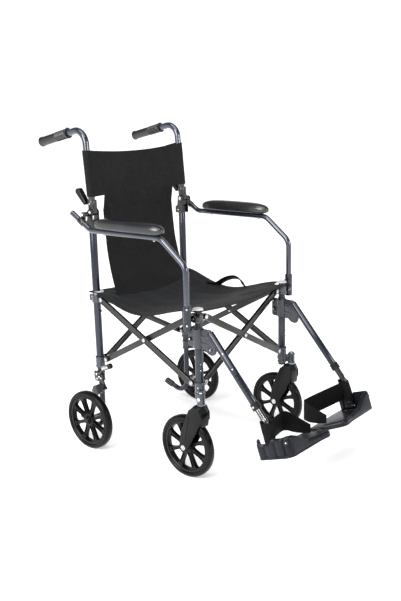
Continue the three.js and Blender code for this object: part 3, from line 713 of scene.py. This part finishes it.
def make_levers():
    """The tube under each rear post, bent back to a ridged rubber tip, with the wheel lock's bracket."""
    corner = V(-AT, AT, LEVER_CORNER)
    tip = (LEVER_END - corner).normalized()
    path = bent([V(-AT, AT, 300), corner, LEVER_END], [LEVER_BEND])
    lever = tube(path, LEVER_RADIUS, PAINT)
    lever.take(frame_sleeve(-AT, AT, (226, 260), 9.6, 14))
    bracket = [(192, 238), (200, 226), (236, 226), (240, 240), (240, 260), (192, 260)]
    holes = [ring_at(228, 250, 3), ring_at(226, 234, 3)]
    lever.take(slab(bracket, "x", (-238, -232), BLACK_ENAMEL, holes, 0.7))
    lever.take(peg((-235, -248), *LOCK_PIVOT, 4, BLACK_ENAMEL, edge=0.5))
    lever.take(bolt(V(-248, *LOCK_PIVOT), RIGHT, 3.4, False))
    lever.take(bolt(V(-238, 228, 250), RIGHT, 3.0), bolt(V(-238, 226, 234), RIGHT, 3.0))
    pair("tipping_lever", lever, "rear_SIDE_frame")

    ridges = [(0.3, 0), (0.3, 10.4), (1.6, 11.8)]
    for k in range(7):
        ridges += [(3 + 4 * k, 12.0), (5 + 4 * k, 12.0), (5.6 + 4 * k, 11.2), (6.4 + 4 * k, 11.2)]
    ridges += [(32, 12.0), (34.5, 11.0), (36.4, 7.0), (36.8, 0)]
    pair("tipping_lever_tip", spun(ridges, LEVER_END, tip, RUBBER), "rear_SIDE_frame")


def make_wheel_locks():
    """A pedal on a plate that turns a shoe towards the tyre."""
    arm = [(196, 250), (192, 240), (174, 208), (182, 206), (206, 238)]
    hole = ring_at(*LOCK_PIVOT, 4.6)
    lock = slab(ring_at(*LOCK_PIVOT, 12, 24), "x", (-246, -239), BLACK_ENAMEL, [hole])
    lock.take(slab(arm, "x", (-246, -240), BLACK_ENAMEL))
    lock.take(rod(V(-245, 202, 258), V(-245, 178, 284), 5, BLACK_ENAMEL))
    start, end = V(-245, 186, 281), V(-245, 146, 298)
    along = (end - start).normalized()
    lock.take(rod(start, end - along * 9, 9, ZINC))
    lock.take(spun([(0, 0), (0, 9.4), (7.5, 9.4), (9.0, 8.0), (9.6, 4.8), (8.8, 4.2), (8.8, 0)],
                   end - along * 9.6, along, BLACK_PLASTIC))
    lock.take(peg((-241, -274), *SHOE_PIN, 5, BLACK_ENAMEL))
    shoe = [(164, 206), (192, 213), (192, 218), (184, 234), (172, 238), (162, 212)]
    lock.take(slab(shoe, "x", (-296, -272), BLACK_ENAMEL, edge=1.6))
    for y, z in (SHOE_PIN, (199, 243)):
        lock.take(bolt(V(-246, y, z), RIGHT, 3.0))
    pair("wheel_lock", lock, "SIDE_wheel_lock")


# ---------- back hinges, push canes and release levers ----------
def make_back_hinges():
    sleeve = spun([(0, 12.9), (0, 14.4), (1.2, 15.5), (20.8, 15.5), (22, 14.4), (22, 12.9)],
                  V(-AT, AT, 752), UP, BLACK_ENAMEL, 48, True)
    outline = [(204, 752), (239, 752), (239, 774), (230, 780), *arc(HINGE_Y, HINGE_Z, 12, -20, 190, 16)]
    for x in (-AT - 16, -AT + 13):
        sleeve.take(slab(outline, "x", (x, x + 3), BLACK_ENAMEL, edge=0.7))
    for side in (-1, 1):
        sleeve.take(bolt(V(-AT + side * 16, HINGE_Y, HINGE_Z), V(side, 0, 0), 4.4))
        sleeve.take(dome(V(-AT + side * 16, AT + 4, 763), V(side, 0, 0), 3.0, 1.2))
    sleeve.take(peg(around(-AT, 14), HINGE_Y, HINGE_Z, 4, ZINC))
    sleeve.take(peg((-AT - 13, -256.7), AT, ARM_PIVOT_Z, 8, BLACK_ENAMEL, edge=1.4))
    sleeve.take(peg((-255, -262.6), AT, ARM_PIVOT_Z, 3.4, ZINC))
    sleeve.take(bolt(V(-262.4, AT, ARM_PIVOT_Z), RIGHT, 5.2, False))
    pair("back_hinge", sleeve, "rear_SIDE_frame")


CANE_RADIUS, CANE_CORNER = 11, (235.5, 1075)
GRIP_FROM, GRIP_TO = V(-AT, 312, 1058.2), V(-AT, 449, 1028)
RIDGES, RIDGE_STEP = 9, 5.4


def push_cane():
    """The bent tube, standing in a black socket with a tongue that turns between the hinge's plates."""
    foot = V(-AT, HINGE_Y + 1.2, HINGE_Z + 18)
    path = bent([foot, V(-AT, *CANE_CORNER), GRIP_TO + V(0, -20, 4.4)], [43])
    cane = tube(path, CANE_RADIUS, HIGHLIGHT_PAINT, 40)
    top = HINGE_Z + 40
    tongue = [*arc(HINGE_Y, HINGE_Z, 10.5, 180, 360, 16), (HINGE_Y + 12, top), (HINGE_Y - 9, top)]
    cane.take(slab(tongue, "x", around(-AT, 10.5), BLACK_ENAMEL, [ring_at(HINGE_Y, HINGE_Z, 4.7)], 1.2))
    low = V(-AT, HINGE_Y + 1.4, HINGE_Z + 17)
    cane.take(rod(low, V(-AT, HINGE_Y + 3.2, top), 14, BLACK_ENAMEL, edge=1.6))
    cane.take(dome(V(-AT - 13.4, HINGE_Y + 2.2, HINGE_Z + 28), RIGHT, 3.4, 1.4))
    return cane


def hand_grip():
    """A flanged grip with ridges for the fingers."""
    length = (GRIP_TO - GRIP_FROM).length
    profile = [(0, 11.4), (0, 16.6), (0.9, 17.6), (3.8, 17.6), (4.8, 16.6), (5.8, 14.6), (9, 14.4)]
    for k in range(RIDGES):
        start = 11 + k * RIDGE_STEP
        profile += [(start, 15.0), (start + 1.4, 16.2), (start + 2.8, 16.2), (start + 4.2, 15.0)]
    profile += [(60, 14.8), (66, 15.4), (length - 14, 15.2), (length - 9, 15.6), (length - 7, 16.8),
                (length - 1.2, 16.8), (length - 0.3, 16.0), (length, 14.8), (length, 0), (length - 12, 0),
                (length - 12, 11.4)]
    return spun(profile, GRIP_FROM, GRIP_TO - GRIP_FROM, RUBBER, 48, True)


def release_lever():
    """The paddle behind each cane that frees the back to fold."""
    paddle = [*arc(272, 871, 10.5, -50, 130, 16), *arc(243, 836, 7.4, 130, 310, 14)]
    release = slab(paddle, "x", (-237, -215), BLACK_PLASTIC, edge=4.6, fine=5)
    release.take(dome(V(-237, 243, 836), RIGHT, 3.0, 1.4, BLACK_ENAMEL))
    return release


def make_canes():
    pair("push_cane", push_cane(), "SIDE_cane")
    pair("hand_grip", hand_grip(), "SIDE_cane")
    pair("back_release_lever", release_lever(), "SIDE_release")


# ---------- armrests ----------
ARM_END, ARM_KNEE = (266, 806), 181  # where the rear of the tube ends, and where it starts to climb


def armrest_tube():
    """A tube bent from the rear pivot over the top to its front upright, which stands in a socket."""
    corners = [ARM_END, (ARM_KNEE, ARM_TOP), (-123, ARM_TOP), (ARM_FRONT, 678), (ARM_FRONT, 490)]
    arm = tube(bent([V(-ARM_X, y, z) for y, z in corners], [35, 50, 45]), 9, HIGHLIGHT_PAINT, 36)
    arm.take(spun([(0, 9.2), (0, 11.4), (1.0, 12.3), (73.0, 12.3), (74, 11.6), (74, 9.2)],
                  V(-ARM_X, ARM_FRONT, 488), UP, PAINT, 48, True))
    toward = V(-0.8, -0.6, 0)
    arm.take(dome(V(-ARM_X, ARM_FRONT, 553) + toward * 11.9, toward, 3.0, 1.4, PALE_PLASTIC))
    arm.take(dome(V(-ARM_X, ARM_FRONT, 503) + toward * 11.9, toward, 2.8, 1.0))
    arm.take(rod(V(-ARM_X, ARM_FRONT + 10, 540), V(-ARM_X, ARM_FRONT + 16, 540), 4, BLACK_PLASTIC, edge=1.2))
    slope = (ARM_END[1] - ARM_TOP) / (ARM_END[0] - ARM_KNEE)
    collar = [V(-ARM_X, y, ARM_TOP + slope * (y - ARM_KNEE)) for y in (212, 232)]
    arm.take(rod(*collar, 11, BLACK_ENAMEL, edge=1.0))
    lug = [*arc(AT, ARM_PIVOT_Z, 9, -20, 200, 16), (AT - 9, 779), (AT + 9, 785)]
    arm.take(slab(lug, "x", (-262, -257), BLACK_ENAMEL, [ring_at(AT, ARM_PIVOT_Z, 4)], 0.7))
    arm.take(dome(V(-ARM_X, *ARM_END), V(0, 0.86, 0.51), 8.4, 2.4, BLACK_PLASTIC))
    for y in (-96, 118):
        arm.take(bolt(V(-ARM_X, y, ARM_TOP - 8.6), DOWN, 3.4, False))
    return arm


def armrest_pad():
    """A foam pad, full along its length, whose ends round off in plan and in height."""
    low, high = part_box("armrest_pad_right")
    start, end = low.y / MM - PLAN_Y, high.y / MM - PLAN_Y
    half, height = (high.x - low.x) / MM / 2, PAD_TOP - PAD_BOTTOM
    level = PAD_BOTTOM + 0.36 * height  # where the skin is widest
    above, below = PAD_TOP - level, level - PAD_BOTTOM
    rings = []
    for s in np.sin(np.linspace(-math.pi / 2, math.pi / 2, 85)):
        y = (start + end) / 2 + s * (end - start) / 2
        taper = max(0.0, 1 - abs(s) ** 5.5) ** 0.5
        crown = taper * (1 - 0.10 * s * s)
        ring = []
        for t in np.linspace(0, 2 * math.pi, 64, endpoint=False):
            c, d = math.cos(t), math.sin(t)
            x = half * taper * math.copysign(abs(c) ** 0.72, c)
            upper, lower = above * crown * abs(d) ** 0.86, below * min(1.0, 0.25 + taper) * abs(d) ** 0.42
            rise = upper if d > 0 else -lower
            ring.append(V(-ARM_X + x, y, level + rise))
        rings.append(ring)
    return skin(rings, PAD_SKIN)


def make_armrests():
    pair("armrest_tube", armrest_tube(), "SIDE_armrest")
    for pad in pair("armrest_pad", armrest_pad(), "SIDE_armrest", sharp=60):
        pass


# ---------- footrests ----------
HANGER_TOP, HANGER_END = V(-AT, -268, 474.7), V(-AT, -437, 279)
KNEE = V(-AT, -470, 240.8)
PLATE_LEFT, PLATE_RIGHT = -30, 202  # along the hinge's own x, from the outer edge to the inner


def hanger_bracket():
    """The sleeve that turns on the post, and the web that carries the tube."""
    hanger = spun([(0, 13.0), (0, 14.8), (1.4, 16), (60.6, 16), (62, 14.8), (62, 13.0)],
                  V(-AT, -AT, 422), UP, BRACKET, 48, True)
    web = [(-184, 480), (-188, 484), (-268, 484), (-292, 436), (-288, 416), (-283, 409), (-276, 407),
           (-268, 408), (-262, 410), (-250, 419), (-188, 423), (-184, 428)]
    hanger.take(slab(web, "x", around(-AT, 5.4), BRACKET, edge=2.4, fine=4))
    for top, bottom in ((468, 456), (446, 436)):
        rib = [(-190, top), (-190, bottom), (-256, bottom - 4), (-266, bottom + 2), (-256, top - 3)]
        hanger.take(slab(rib, "x", around(-AT, 7.0), BRACKET, edge=1.6, fine=3))
    for z in (476, 447):
        for side in (-1, 1):
            hanger.take(peg((-AT + side * 5, -AT + side * 9.4), -192, z, 6.0, BLACK_PLASTIC))
            hanger.take(dome(V(-AT + side * 9.4, -192, z), V(side, 0, 0), 3.2, 1.2))
    hanger.take(spun([(0, 0), (0, 9.6), (1.6, 9.6), (2.6, 8.4), (2.6, 4.4), (1.2, 4.0), (1.2, 0)],
                     V(-AT - 5.2, -270, 424), RIGHT, BRACKET))
    hanger.take(dome(V(-AT - 6.2, -270, 424), RIGHT, 2.8, 1.4))
    return hanger


def hanger_tube():
    """The sloping tube, with its adjusting holes drawn as black rings for painted shade, and the collar that
    grips the extension.
    """
    down = (HANGER_END - HANGER_TOP).normalized()
    hanger = rod(HANGER_TOP, HANGER_END, 11, PAINT, edge=1.2)
    hanger.take(dome(HANGER_TOP, -down, 10.6, 3.4, BLACK_PLASTIC))
    toward = V(-0.82, 0, 0) + down.cross(LEFT).normalized() * 0.57
    face = toward.normalized()
    for reach in (74, 128):
        hanger.take(dome(HANGER_TOP + down * reach + face * 10.7, toward, 2.6, 1.2))
    # Six black rings stand for the adjusting holes; their darkness is painted shade.
    for k in range(6):
        spot = HANGER_TOP + down * (146 + 13 * k) + face * 10.4
        hanger.take(rod(spot - face, spot + face * 0.9, 3.0, BLACK_PLASTIC, 1.4, 0.3, 20))
    collar = [(0, 11.0), (0, 13.2), (1.0, 14.0), (6, 14.0), (7, 13.2), (8, 13.2), (9, 14), (20.4, 14),
              (21.4, 13.2), (21.4, 9.8)]
    hanger.take(spun(collar, V(-AT, -427, 290.6), down, BLACK_PLASTIC, 40, True))
    hanger.take(dome(V(-AT - 13.6, -434, 282.5), RIGHT, 3.6, 2.2))
    return hanger


def make_hangers():
    hanger = hanger_bracket().take(hanger_tube())
    pair("footrest_hanger", hanger, "SIDE_hanger")


def make_extensions():
    """The inner tube with its two spring strips, bent down to the footplate's hinge."""
    foot = V(-229, PLATE_Y + 3, PLATE_Z + 6)
    path = bent([V(-AT, -398, 324.2), KNEE, foot], [30])
    post = tube(path, 9.2, BLACK_ENAMEL, 36)
    upper = (KNEE - path[0]).normalized()
    across = upper.cross(LEFT).normalized()
    for turn in (0.35, 1.0):
        face = V(-math.cos(turn), 0, 0) + across * math.sin(turn)
        spot = path[0] + upper * 52 + face * 8.6
        post.take(rod(spot, spot + upper * 54, 1.5, ZINC, edge=0.5, sides=12))
    hinge = V(-PLATE_X, PLATE_Y, PLATE_Z)
    reach = V(0, math.cos(PLATE_TILT), -math.sin(PLATE_TILT)) * 16
    post.take(rod(hinge - reach, hinge + reach, 9, BLACK_PLASTIC, edge=1.5))
    block = [(-238, 153), (-213, 153), (-213, 168), (-238, 168)]
    post.take(slab(block, "y", (-507, -491), BLACK_PLASTIC, edge=2.5, fine=3))
    for side in (-1, 1):
        post.take(bolt(hinge + reach * side, reach * side, 3.6, False))
    pair("footrest_extension", post, "SIDE_extension")


def wall_section(corner):
    """The footplate's rim at a point of its outline: its top, its thickness and how far a flute cuts in."""
    along = [PLATE_LEFT, PLATE_LEFT + 8, 4, 24, 44, 66, 110, 202]
    top = float(np.interp(corner.x, along, [40, 42, 39, 31, 18, 6, 1, -2]))
    thick = float(np.interp(corner.x, [PLATE_LEFT, PLATE_LEFT + 20, 40, 80, 202], [10, 14, 16, 12, 11]))
    flute = 0.0
    if corner.x < PLATE_LEFT + 12:
        top -= 9 * min(1.0, max(0.0, (corner.y - 26) / 12))
        top -= 13 * math.exp(-((corner.y - 13) / 19) ** 8)
        flute = sum(6.4 * math.exp(-abs(corner.y - y) / 6.0) for y in (21, -19, -52))
    return top, thick, flute


def footplate():
    """Drawn with x inboard, y rearward along the hinge and z up through the tread."""
    left, right = PLATE_LEFT, PLATE_RIGHT
    rear = arc(left + 14, 36, 14, 90, 180, 8)
    front = arc(left + 30, -44, 30, 180, 255, 14)
    inner = [*arc(right - 46, -54, 28, -90, -35, 7), (right, -20)]
    outer = [*rear, (left, -42), *front]
    outline = [*outer, (121, -76), *inner, *arc(right - 18, 30, 18, 0, 80, 8), (right - 108, 50)]
    plate = slab(outline, "z", (-20, -11.4), PLATE_GREY, edge=2.6, fine=4)
    corners = [*outer, (30, -73.6), (70, -74.6), (121, -76), *inner]
    rim = evenly([V(a, b, 0) for a, b in corners], 2.0)
    rings = []
    for corner, along in zip(rim, directions(rim)):
        top, thick, flute = wall_section(corner)
        inward = UP.cross(along)
        depth = flute * 0.6
        section = ((thick, -13), (thick * 0.5, -19), (5.0, -20), (depth + 2.0, -18.6), (depth + 0.4, -14),
                   (flute, -8), (flute, top - 10), (flute + 0.9, top - 5.6), (flute + 2.8, top - 2.2),
                   (flute + 5.2, top - 0.4), (thick * 0.6 + 2, top), (thick - 1.6, top - 1.6),
                   (thick, top - 5.0))
        rings.append([corner + inward * d + V(0, 0, z) for d, z in section])
    plate.take(skin(rings, PLATE_GREY))
    facing = V(math.cos(math.radians(215)), math.sin(math.radians(215)), 0.35).normalized()
    dish = V(left + 30, -44, 24) + V(facing.x, facing.y, 0).normalized() * 27.5
    plate.take(spun([(0, 0), (0, 7.4), (2.8, 7.8), (3.6, 7.0), (3.6, 5.4), (1.4, 4.8), (1.4, 0)],
                    dish, facing, BLACK_PLASTIC))
    plate.take(dome(dish + facing * 1.4, facing, 2.9, 2.0))
    boss = [(left + 8, 26), (left + 8, -22), (8, -20), (17, -10), (17, 10), (8, 20)]
    plate.take(slab(boss, "z", (-14, -8.4), BLACK_PLASTIC, edge=1.6))
    return plate


def evenly(corners, step):
    """The same path with stations no further apart than step."""
    path = [corners[0]]
    for a, b in zip(corners, corners[1:]):
        parts = max(1, math.ceil((b - a).length / step))
        path += [a.lerp(b, (k + 1) / parts) for k in range(parts)]
    return path


def make_footplates():
    turn = Matrix.Translation((-PLATE_X, PLATE_Y, PLATE_Z)) @ Matrix.Rotation(-PLATE_TILT, 4, "X")
    plate = footplate().moved(turn)
    pair("footplate", plate, "SIDE_footplate")


# ---------- slings and straps ----------
def cloth(points, faces, thickness, material):
    """A surface given its real thickness, half to each side."""
    mesh = bpy.data.meshes.new("cloth")
    mesh.from_pydata(points, [], faces)
    maker = linked("cloth", mesh)
    solid = maker.modifiers.new("thickness", "SOLIDIFY")
    solid.thickness, solid.offset, solid.use_even_offset = thickness, 0, True
    made = maker.evaluated_get(bpy.context.evaluated_depsgraph_get()).to_mesh()
    shape = Shape([v.co for v in made.vertices], [f.vertices for f in made.polygons], material)
    bpy.data.objects.remove(maker)
    bpy.data.meshes.remove(mesh)
    return shape


def folds(place, corner, count, reach, height):
    """Soft tension folds that fan out from a corner and die away with distance from it."""
    away = place - corner
    distance = away.length
    turn = math.atan2(away[1], away[0])
    wave = math.sin(count * turn + 2.2 * noise.noise(V(away[0], away[1], 7) / 130))
    return height * wave * (distance / reach) * math.exp(1 - distance / reach) if distance > 1 else 0.0


def flat_folds(a, b, corners, count, reach, height):
    here = Vector((a, b))
    fans = sum(folds(here, Vector(c), count, reach, height) for c in corners)
    return fans + 2.2 * height * noise.fractal(V(a, b, 40) / 110, 0.8, 2.1, 3)


HOLE, EASED = 18.6, 22.4  # radius of each hole, and of the cloth that is pushed back to make it
HOLES = [Vector((s * (AT - HOLE_SHIFT), t * (AT - HOLE_SHIFT))) for s in (-1, 1) for t in (-1, 1)]


def seat_point(a, b):
    """The seat at plan (a, b): it hangs from the posts, and opens round each of them."""
    place = Vector((a, b))
    for hole in HOLES:
        away = place - hole
        if 0 < away.length < EASED:
            place = hole + away.normalized() * (HOLE + away.length * (EASED - HOLE) / EASED)
    u, w = min(1, abs(place.x) / AT), min(1, abs(place.y) / AT)
    edge = SEAT_HALF - max(abs(place.x), abs(place.y))
    back = place.y / AT
    dip = SIDE_SAG * (1 - w * w) ** 2 * (1 + 0.4 * back) + FRONT_SAG * (1 - u * u)
    calm = min(1.0, max(0.0, edge - 14) / 60)
    corners = [(s * AT, t * AT) for s in (-1, 1) for t in (-1, 1)]
    crease = flat_folds(place.x, place.y, corners, 9, 70, 1.5) * calm
    hem = 0.9 if 3 < edge < 24 else 0.0
    return V(place.x, place.y, SEAT_Z - dip + crease + hem)


def seat_half(front, back):
    lines = np.linspace(-SEAT_HALF, SEAT_HALF, 121)
    rows = [y for y in lines if front - 0.01 <= y <= back + 0.01]
    points = [seat_point(x, y) for y in rows for x in lines]
    n = len(lines)
    faces = []
    for j in range(len(rows) - 1):
        for i in range(n - 1):
            middle = Vector(((lines[i] + lines[i + 1]) / 2, (rows[j] + rows[j + 1]) / 2))
            if min((middle - hole).length for hole in HOLES) > 6.5:
                faces.append(cell(j, i, n))
    return kept(points, faces, 2.6, SEAT_CLOTH_PAINTED_LIT)


def folding(piece):
    """Gives a soft piece its own copy of its mesh."""
    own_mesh(piece)


def make_seat():
    for end, span in (("rear", (0, SEAT_HALF)), ("front", (-SEAT_HALF, 0))):
        piece = build(f"fine_seat_sling_{end}", seat_half(*span), f"{end}_right_slider",
                      ["seat_sling"] if end == "rear" else [], sharp=50)
        folding(piece)


def back_y(z):
    return 219 + (z - 857) * 0.0777


FLAP, WRAP, AROUND = 12, 13, 13.2  # points along the flap and round the cane, and the radius there


def band_section():
    """The upper band from its sewn flap behind one cane round the front to the other."""
    cane = V(AT, back_y(930) + 0.5, 0)
    turns = np.linspace(0, math.pi, WRAP)
    wrap = [V(cane.x + AROUND * math.sin(t), cane.y + AROUND * math.cos(t), 0) for t in turns]
    flap = [V(x, cane.y + AROUND - (AT - x) * 0.12, 0) for x in np.linspace(AT - 60, AT - 6, FLAP)]
    front = [V(x, cane.y - AROUND + 5.0 * (1 - ((x - 160) / 62)), 0) for x in np.linspace(AT - 4, 160, 16)]
    half = [*flap, *wrap, *front]
    middle = [V(x, half[-1].y, 0) for x in np.linspace(156, -156, 79)]
    return [*half, *middle, *[V(-p.x, p.y, 0) for p in reversed(half)]]


def kept(points, faces, thickness, material):
    """Cloth over some faces of a grid, without the points that none of them uses."""
    used = sorted({i for face in faces for i in face})
    place = {old: new for new, old in enumerate(used)}
    faces = [tuple(place[i] for i in face) for face in faces]
    return cloth([points[i] for i in used], faces, thickness, material)


def back_upper():
    section = band_section()
    first, last = FLAP + WRAP, len(section) - FLAP - WRAP - 1
    rows = [*np.arange(HINGE_Z, BACK_BOTTOM, 4.25), *np.arange(BACK_BOTTOM, BACK_TOP + 0.1, 4.0)]
    corners = [(-WAIST, BACK_BOTTOM), (WAIST, BACK_BOTTOM), (-AT, BACK_TOP), (AT, BACK_TOP)]
    points = []
    for z in rows:
        lean = back_y(z) - back_y(930)
        for i, p in enumerate(section):
            middling = 1 - min(1, abs(p.x) / AT) ** 2
            fall = max(0.0, (z - BACK_BOTTOM - 30) / (BACK_TOP - BACK_BOTTOM - 30))
            rise = z - 13 * middling * fall
            y = p.y + lean
            if first <= i <= last:
                y += 9 * middling
            if first + 8 < i < last - 8:
                y += flat_folds(p.x, rise, corners, 8, 60, 1.3)
            if z < BACK_BOTTOM:
                y += (back_y(z) + 6 - (p.y + lean)) * (BACK_BOTTOM - z) / (BACK_BOTTOM - HINGE_Z)
            points.append(V(p.x, y, rise))
    n = len(section)
    in_panel = [first <= i < last and max(abs(p.x), abs(q.x)) < WAIST
                for i, (p, q) in enumerate(zip(section, section[1:]))]
    faces = []
    for j, z in enumerate(rows[:-1]):
        columns = [i for i in range(n - 1) if z > BACK_BOTTOM - 0.1 or in_panel[i]]
        faces += [cell(j, i, n) for i in columns]
    return kept(points, faces, BACK_THICK, BACK_CLOTH_PAINTED_SHADE)


def back_lower():
    """The panel hangs below the hinges, and its foot swings forward to where it is sewn to the seat."""
    columns, levels = np.linspace(-1, 1, 93), np.linspace(0, 1, 70)
    corners = [(-WAIST, 842), (WAIST, 842), (-WAIST, SEAT_Z), (WAIST, SEAT_Z)]
    points = []
    for level in levels:
        for s in columns:
            x = s * (WAIST + 9 * (1 - level) ** 2)
            reach = FORWARD + 24 * (1 - s * s)
            foot = seat_point(x, back_y(SEAT_Z) + 6 - reach).z - 1
            z = foot + level * (HINGE_Z - foot)
            low = max(0.0, (SWING - z) / (SWING - foot))
            y = back_y(z) + 6 + 9 * (1 - (x / AT) ** 2) - reach * low ** 1.9
            y += flat_folds(x, z, corners, 8, 75, 1.6) * min(1.0, (1 - abs(s)) * 9)
            points.append(V(x, y, z))
    return cloth(points, grid(len(levels), len(columns)), BACK_THICK, BACK_CLOTH_PAINTED_SHADE)


def make_back():
    upper = build("fine_back_sling_upper", back_upper(), "right_cane",
                  ["back_sling"], sharp=50)
    folding(upper)
    lower = build("fine_back_sling_lower", back_lower(), "rear_right_slider", sharp=50)
    folding(lower)


def band(path, width, thickness, up):
    """A flat strap along a path, with softened edges."""
    w, t = width / 2, thickness / 2
    half = [(-t, -w + 1), (-t * 0.5, -w), (t * 0.5, -w), (t, -w + 1)]
    return swept(path, [*half, *[(-a, -b) for a, b in half]], WEBBING, up)


def make_heel_loops():
    """Each strap stands behind the heel, from the footrest's post to the inner end of the plate."""
    rails = [(-213, -476, 243, 179), (-170, -458, 233, 169), (-130, -443, 225, 161), (-95, -430, 218, 154),
             (-70, -422, 213, 149), (-57, -421, 211, 147), (-50, -432, 209, 147), (-48, -450, 203, 146),
             (-47, -480, 194, 150), (-46, -510, 185, 158)]
    top = smooth_path([V(x, y, high) for x, y, high, low in rails], 6)
    bottom = smooth_path([V(x, y, low) for x, y, high, low in rails], 6)
    centre = V(-226.5, -490, 178)
    lean = V(0.07, 0.37, 1).normalized()
    turns = np.linspace(0.6, 2 * math.pi + 0.3, 33)
    wrap = [V(math.cos(t), math.sin(t), 0) * (16.5 + 2.5 * math.cos(t)) for t in turns]
    sleeve = ruled([centre + p + lean * 67 for p in wrap], [centre + p for p in wrap], 9)
    loop = ruled(top, bottom, 17).take(sleeve)
    for side, piece in zip(SIDES, pair("heel_loop", loop, "SIDE_extension", sharp=50)):
        folding(piece)


def ruled(top, bottom, rows):
    """A strap between two edges, with slight waves between them."""
    points = []
    for share in np.linspace(0, 1, rows):
        for a, b in zip(top, bottom):
            place = a.lerp(b, float(share))
            wave = 1.6 * math.sin(math.pi * share) * noise.noise(place / 26)
            points.append(place + V(0.3, 1, 0).normalized() * wave)
    return cloth(points, grid(rows, len(top)), 2.2, WEBBING)


def make_pull_strap():
    ends = [V(205, 96, 2.4), V(214, 76, 2.6), V(221, 58, 7), V(225, 36, 23), V(226, 8, 36), V(226, -22, 38),
            V(225, -44, 26), V(222, -58, 9), V(216, -70, 2.8), V(205, -84, 2.4)]
    path = smooth_path([p + V(0, 0, seat_point(min(p.x, 222), p.y).z) for p in ends], 7)
    strap = band(path, 27, 4.0, V(0.8, 0.1, -0.55))
    piece = build("fine_pull_strap", strap, "rear_right_slider", sharp=50)
    folding(piece)


# ---------- picture ----------
def make_floor():
    mesh = bpy.data.meshes.new("floor")
    far = 30
    corners = [(-far, -far, 0), (far, -far, 0), (far, far, 0), (-far, far, 0)]
    mesh.from_pydata(corners, [], [(0, 1, 2, 3)])
    white = Finish("studio_white", 0.9, gloss=0.1)
    mesh.materials.append(white.look(Base_Color=(0.96, 0.96, 0.96, 1), Emission_Color=(1, 1, 1, 1),
                                     Emission_Strength=0.3))
    linked("floor", mesh)


def aimed(name, data, place, at):
    """A lamp at a place, turned to point at another."""
    lamp = linked(name, data)
    lamp.location = place
    lamp.rotation_euler = (Vector(at) - Vector(place)).to_track_quat("-Z", "Y").to_euler()


def soft_light(name, place, size, energy):
    data = bpy.data.lights.new(name, "AREA")
    data.shape, data.size, data.energy = "DISK", size, energy
    aimed(name, data, place, (0, 0.05, 0.5))


def make_lights():
    """A pale studio: white round the horizon, dimmer overhead, with a broad soft light from the left."""
    world = bpy.data.worlds.new("studio")
    world.use_nodes = True
    nodes, links = world.node_tree.nodes, world.node_tree.links
    height = nodes.new("ShaderNodeSeparateXYZ")
    ramp = nodes.new("ShaderNodeValToRGB")
    links.new(nodes.new("ShaderNodeTexCoord").outputs["Generated"], height.inputs["Vector"])
    links.new(height.outputs["Z"], ramp.inputs["Fac"])
    links.new(ramp.outputs["Color"], nodes["Background"].inputs["Color"])
    set_stops(ramp, (1, 1, 1), (0.22, 0.22, 0.23), 0.18, 0.5)
    nodes["Background"].inputs["Strength"].default_value = 1.02
    bpy.context.scene.world = world
    bpy.context.scene.view_settings.view_transform = "Standard"
    sun = bpy.data.lights.new("ceiling", "SUN")
    sun.energy, sun.angle = 2.5, math.radians(60)
    aimed("ceiling", sun, (-1.4, -0.6, 3.0), (0, 0, 0))
    soft_light("key", (-2.4, -0.1, 1.7), 1.7, 66)
    soft_light("fill", (0.4, -3.0, 1.6), 0.7, 30)


CAMERA_AT, LENS = V(-1989.3, -1732.8 + PLAN_Y, 1149.5), 48.0
AZIMUTH, ELEVATION, ROLL = (math.radians(turn) for turn in (-49.69, 14.0, -1.49))


def make_camera():
    flat = math.cos(ELEVATION)
    back = V(math.sin(AZIMUTH) * flat, -math.cos(AZIMUTH) * flat, math.sin(ELEVATION))
    level = (-back).cross(UP).normalized()
    above = level.cross(-back)
    right = level * math.cos(ROLL) + above * math.sin(ROLL)
    up = above * math.cos(ROLL) - level * math.sin(ROLL)
    data = bpy.data.cameras.new("camera")
    data.lens, data.sensor_width, data.clip_end = LENS, 36.0, 100
    camera = linked("camera", data)
    turn = Matrix((right, up, back)).transposed().to_4x4()
    camera.matrix_world = Matrix.Translation(CAMERA_AT * MM) @ turn
    bpy.context.scene.camera = camera


make_posts()
make_rear_knuckles()
make_front_knuckles()
make_cross_bars()
make_wheels()
pair("caster_fork", caster_fork(), "SIDE_fork")
make_levers()
make_wheel_locks()
make_back_hinges()
make_canes()
make_armrests()
make_hangers()
make_extensions()
make_footplates()
make_seat()
make_back()
make_heel_loops()
make_pull_strap()
make_floor()
make_lights()
make_camera()
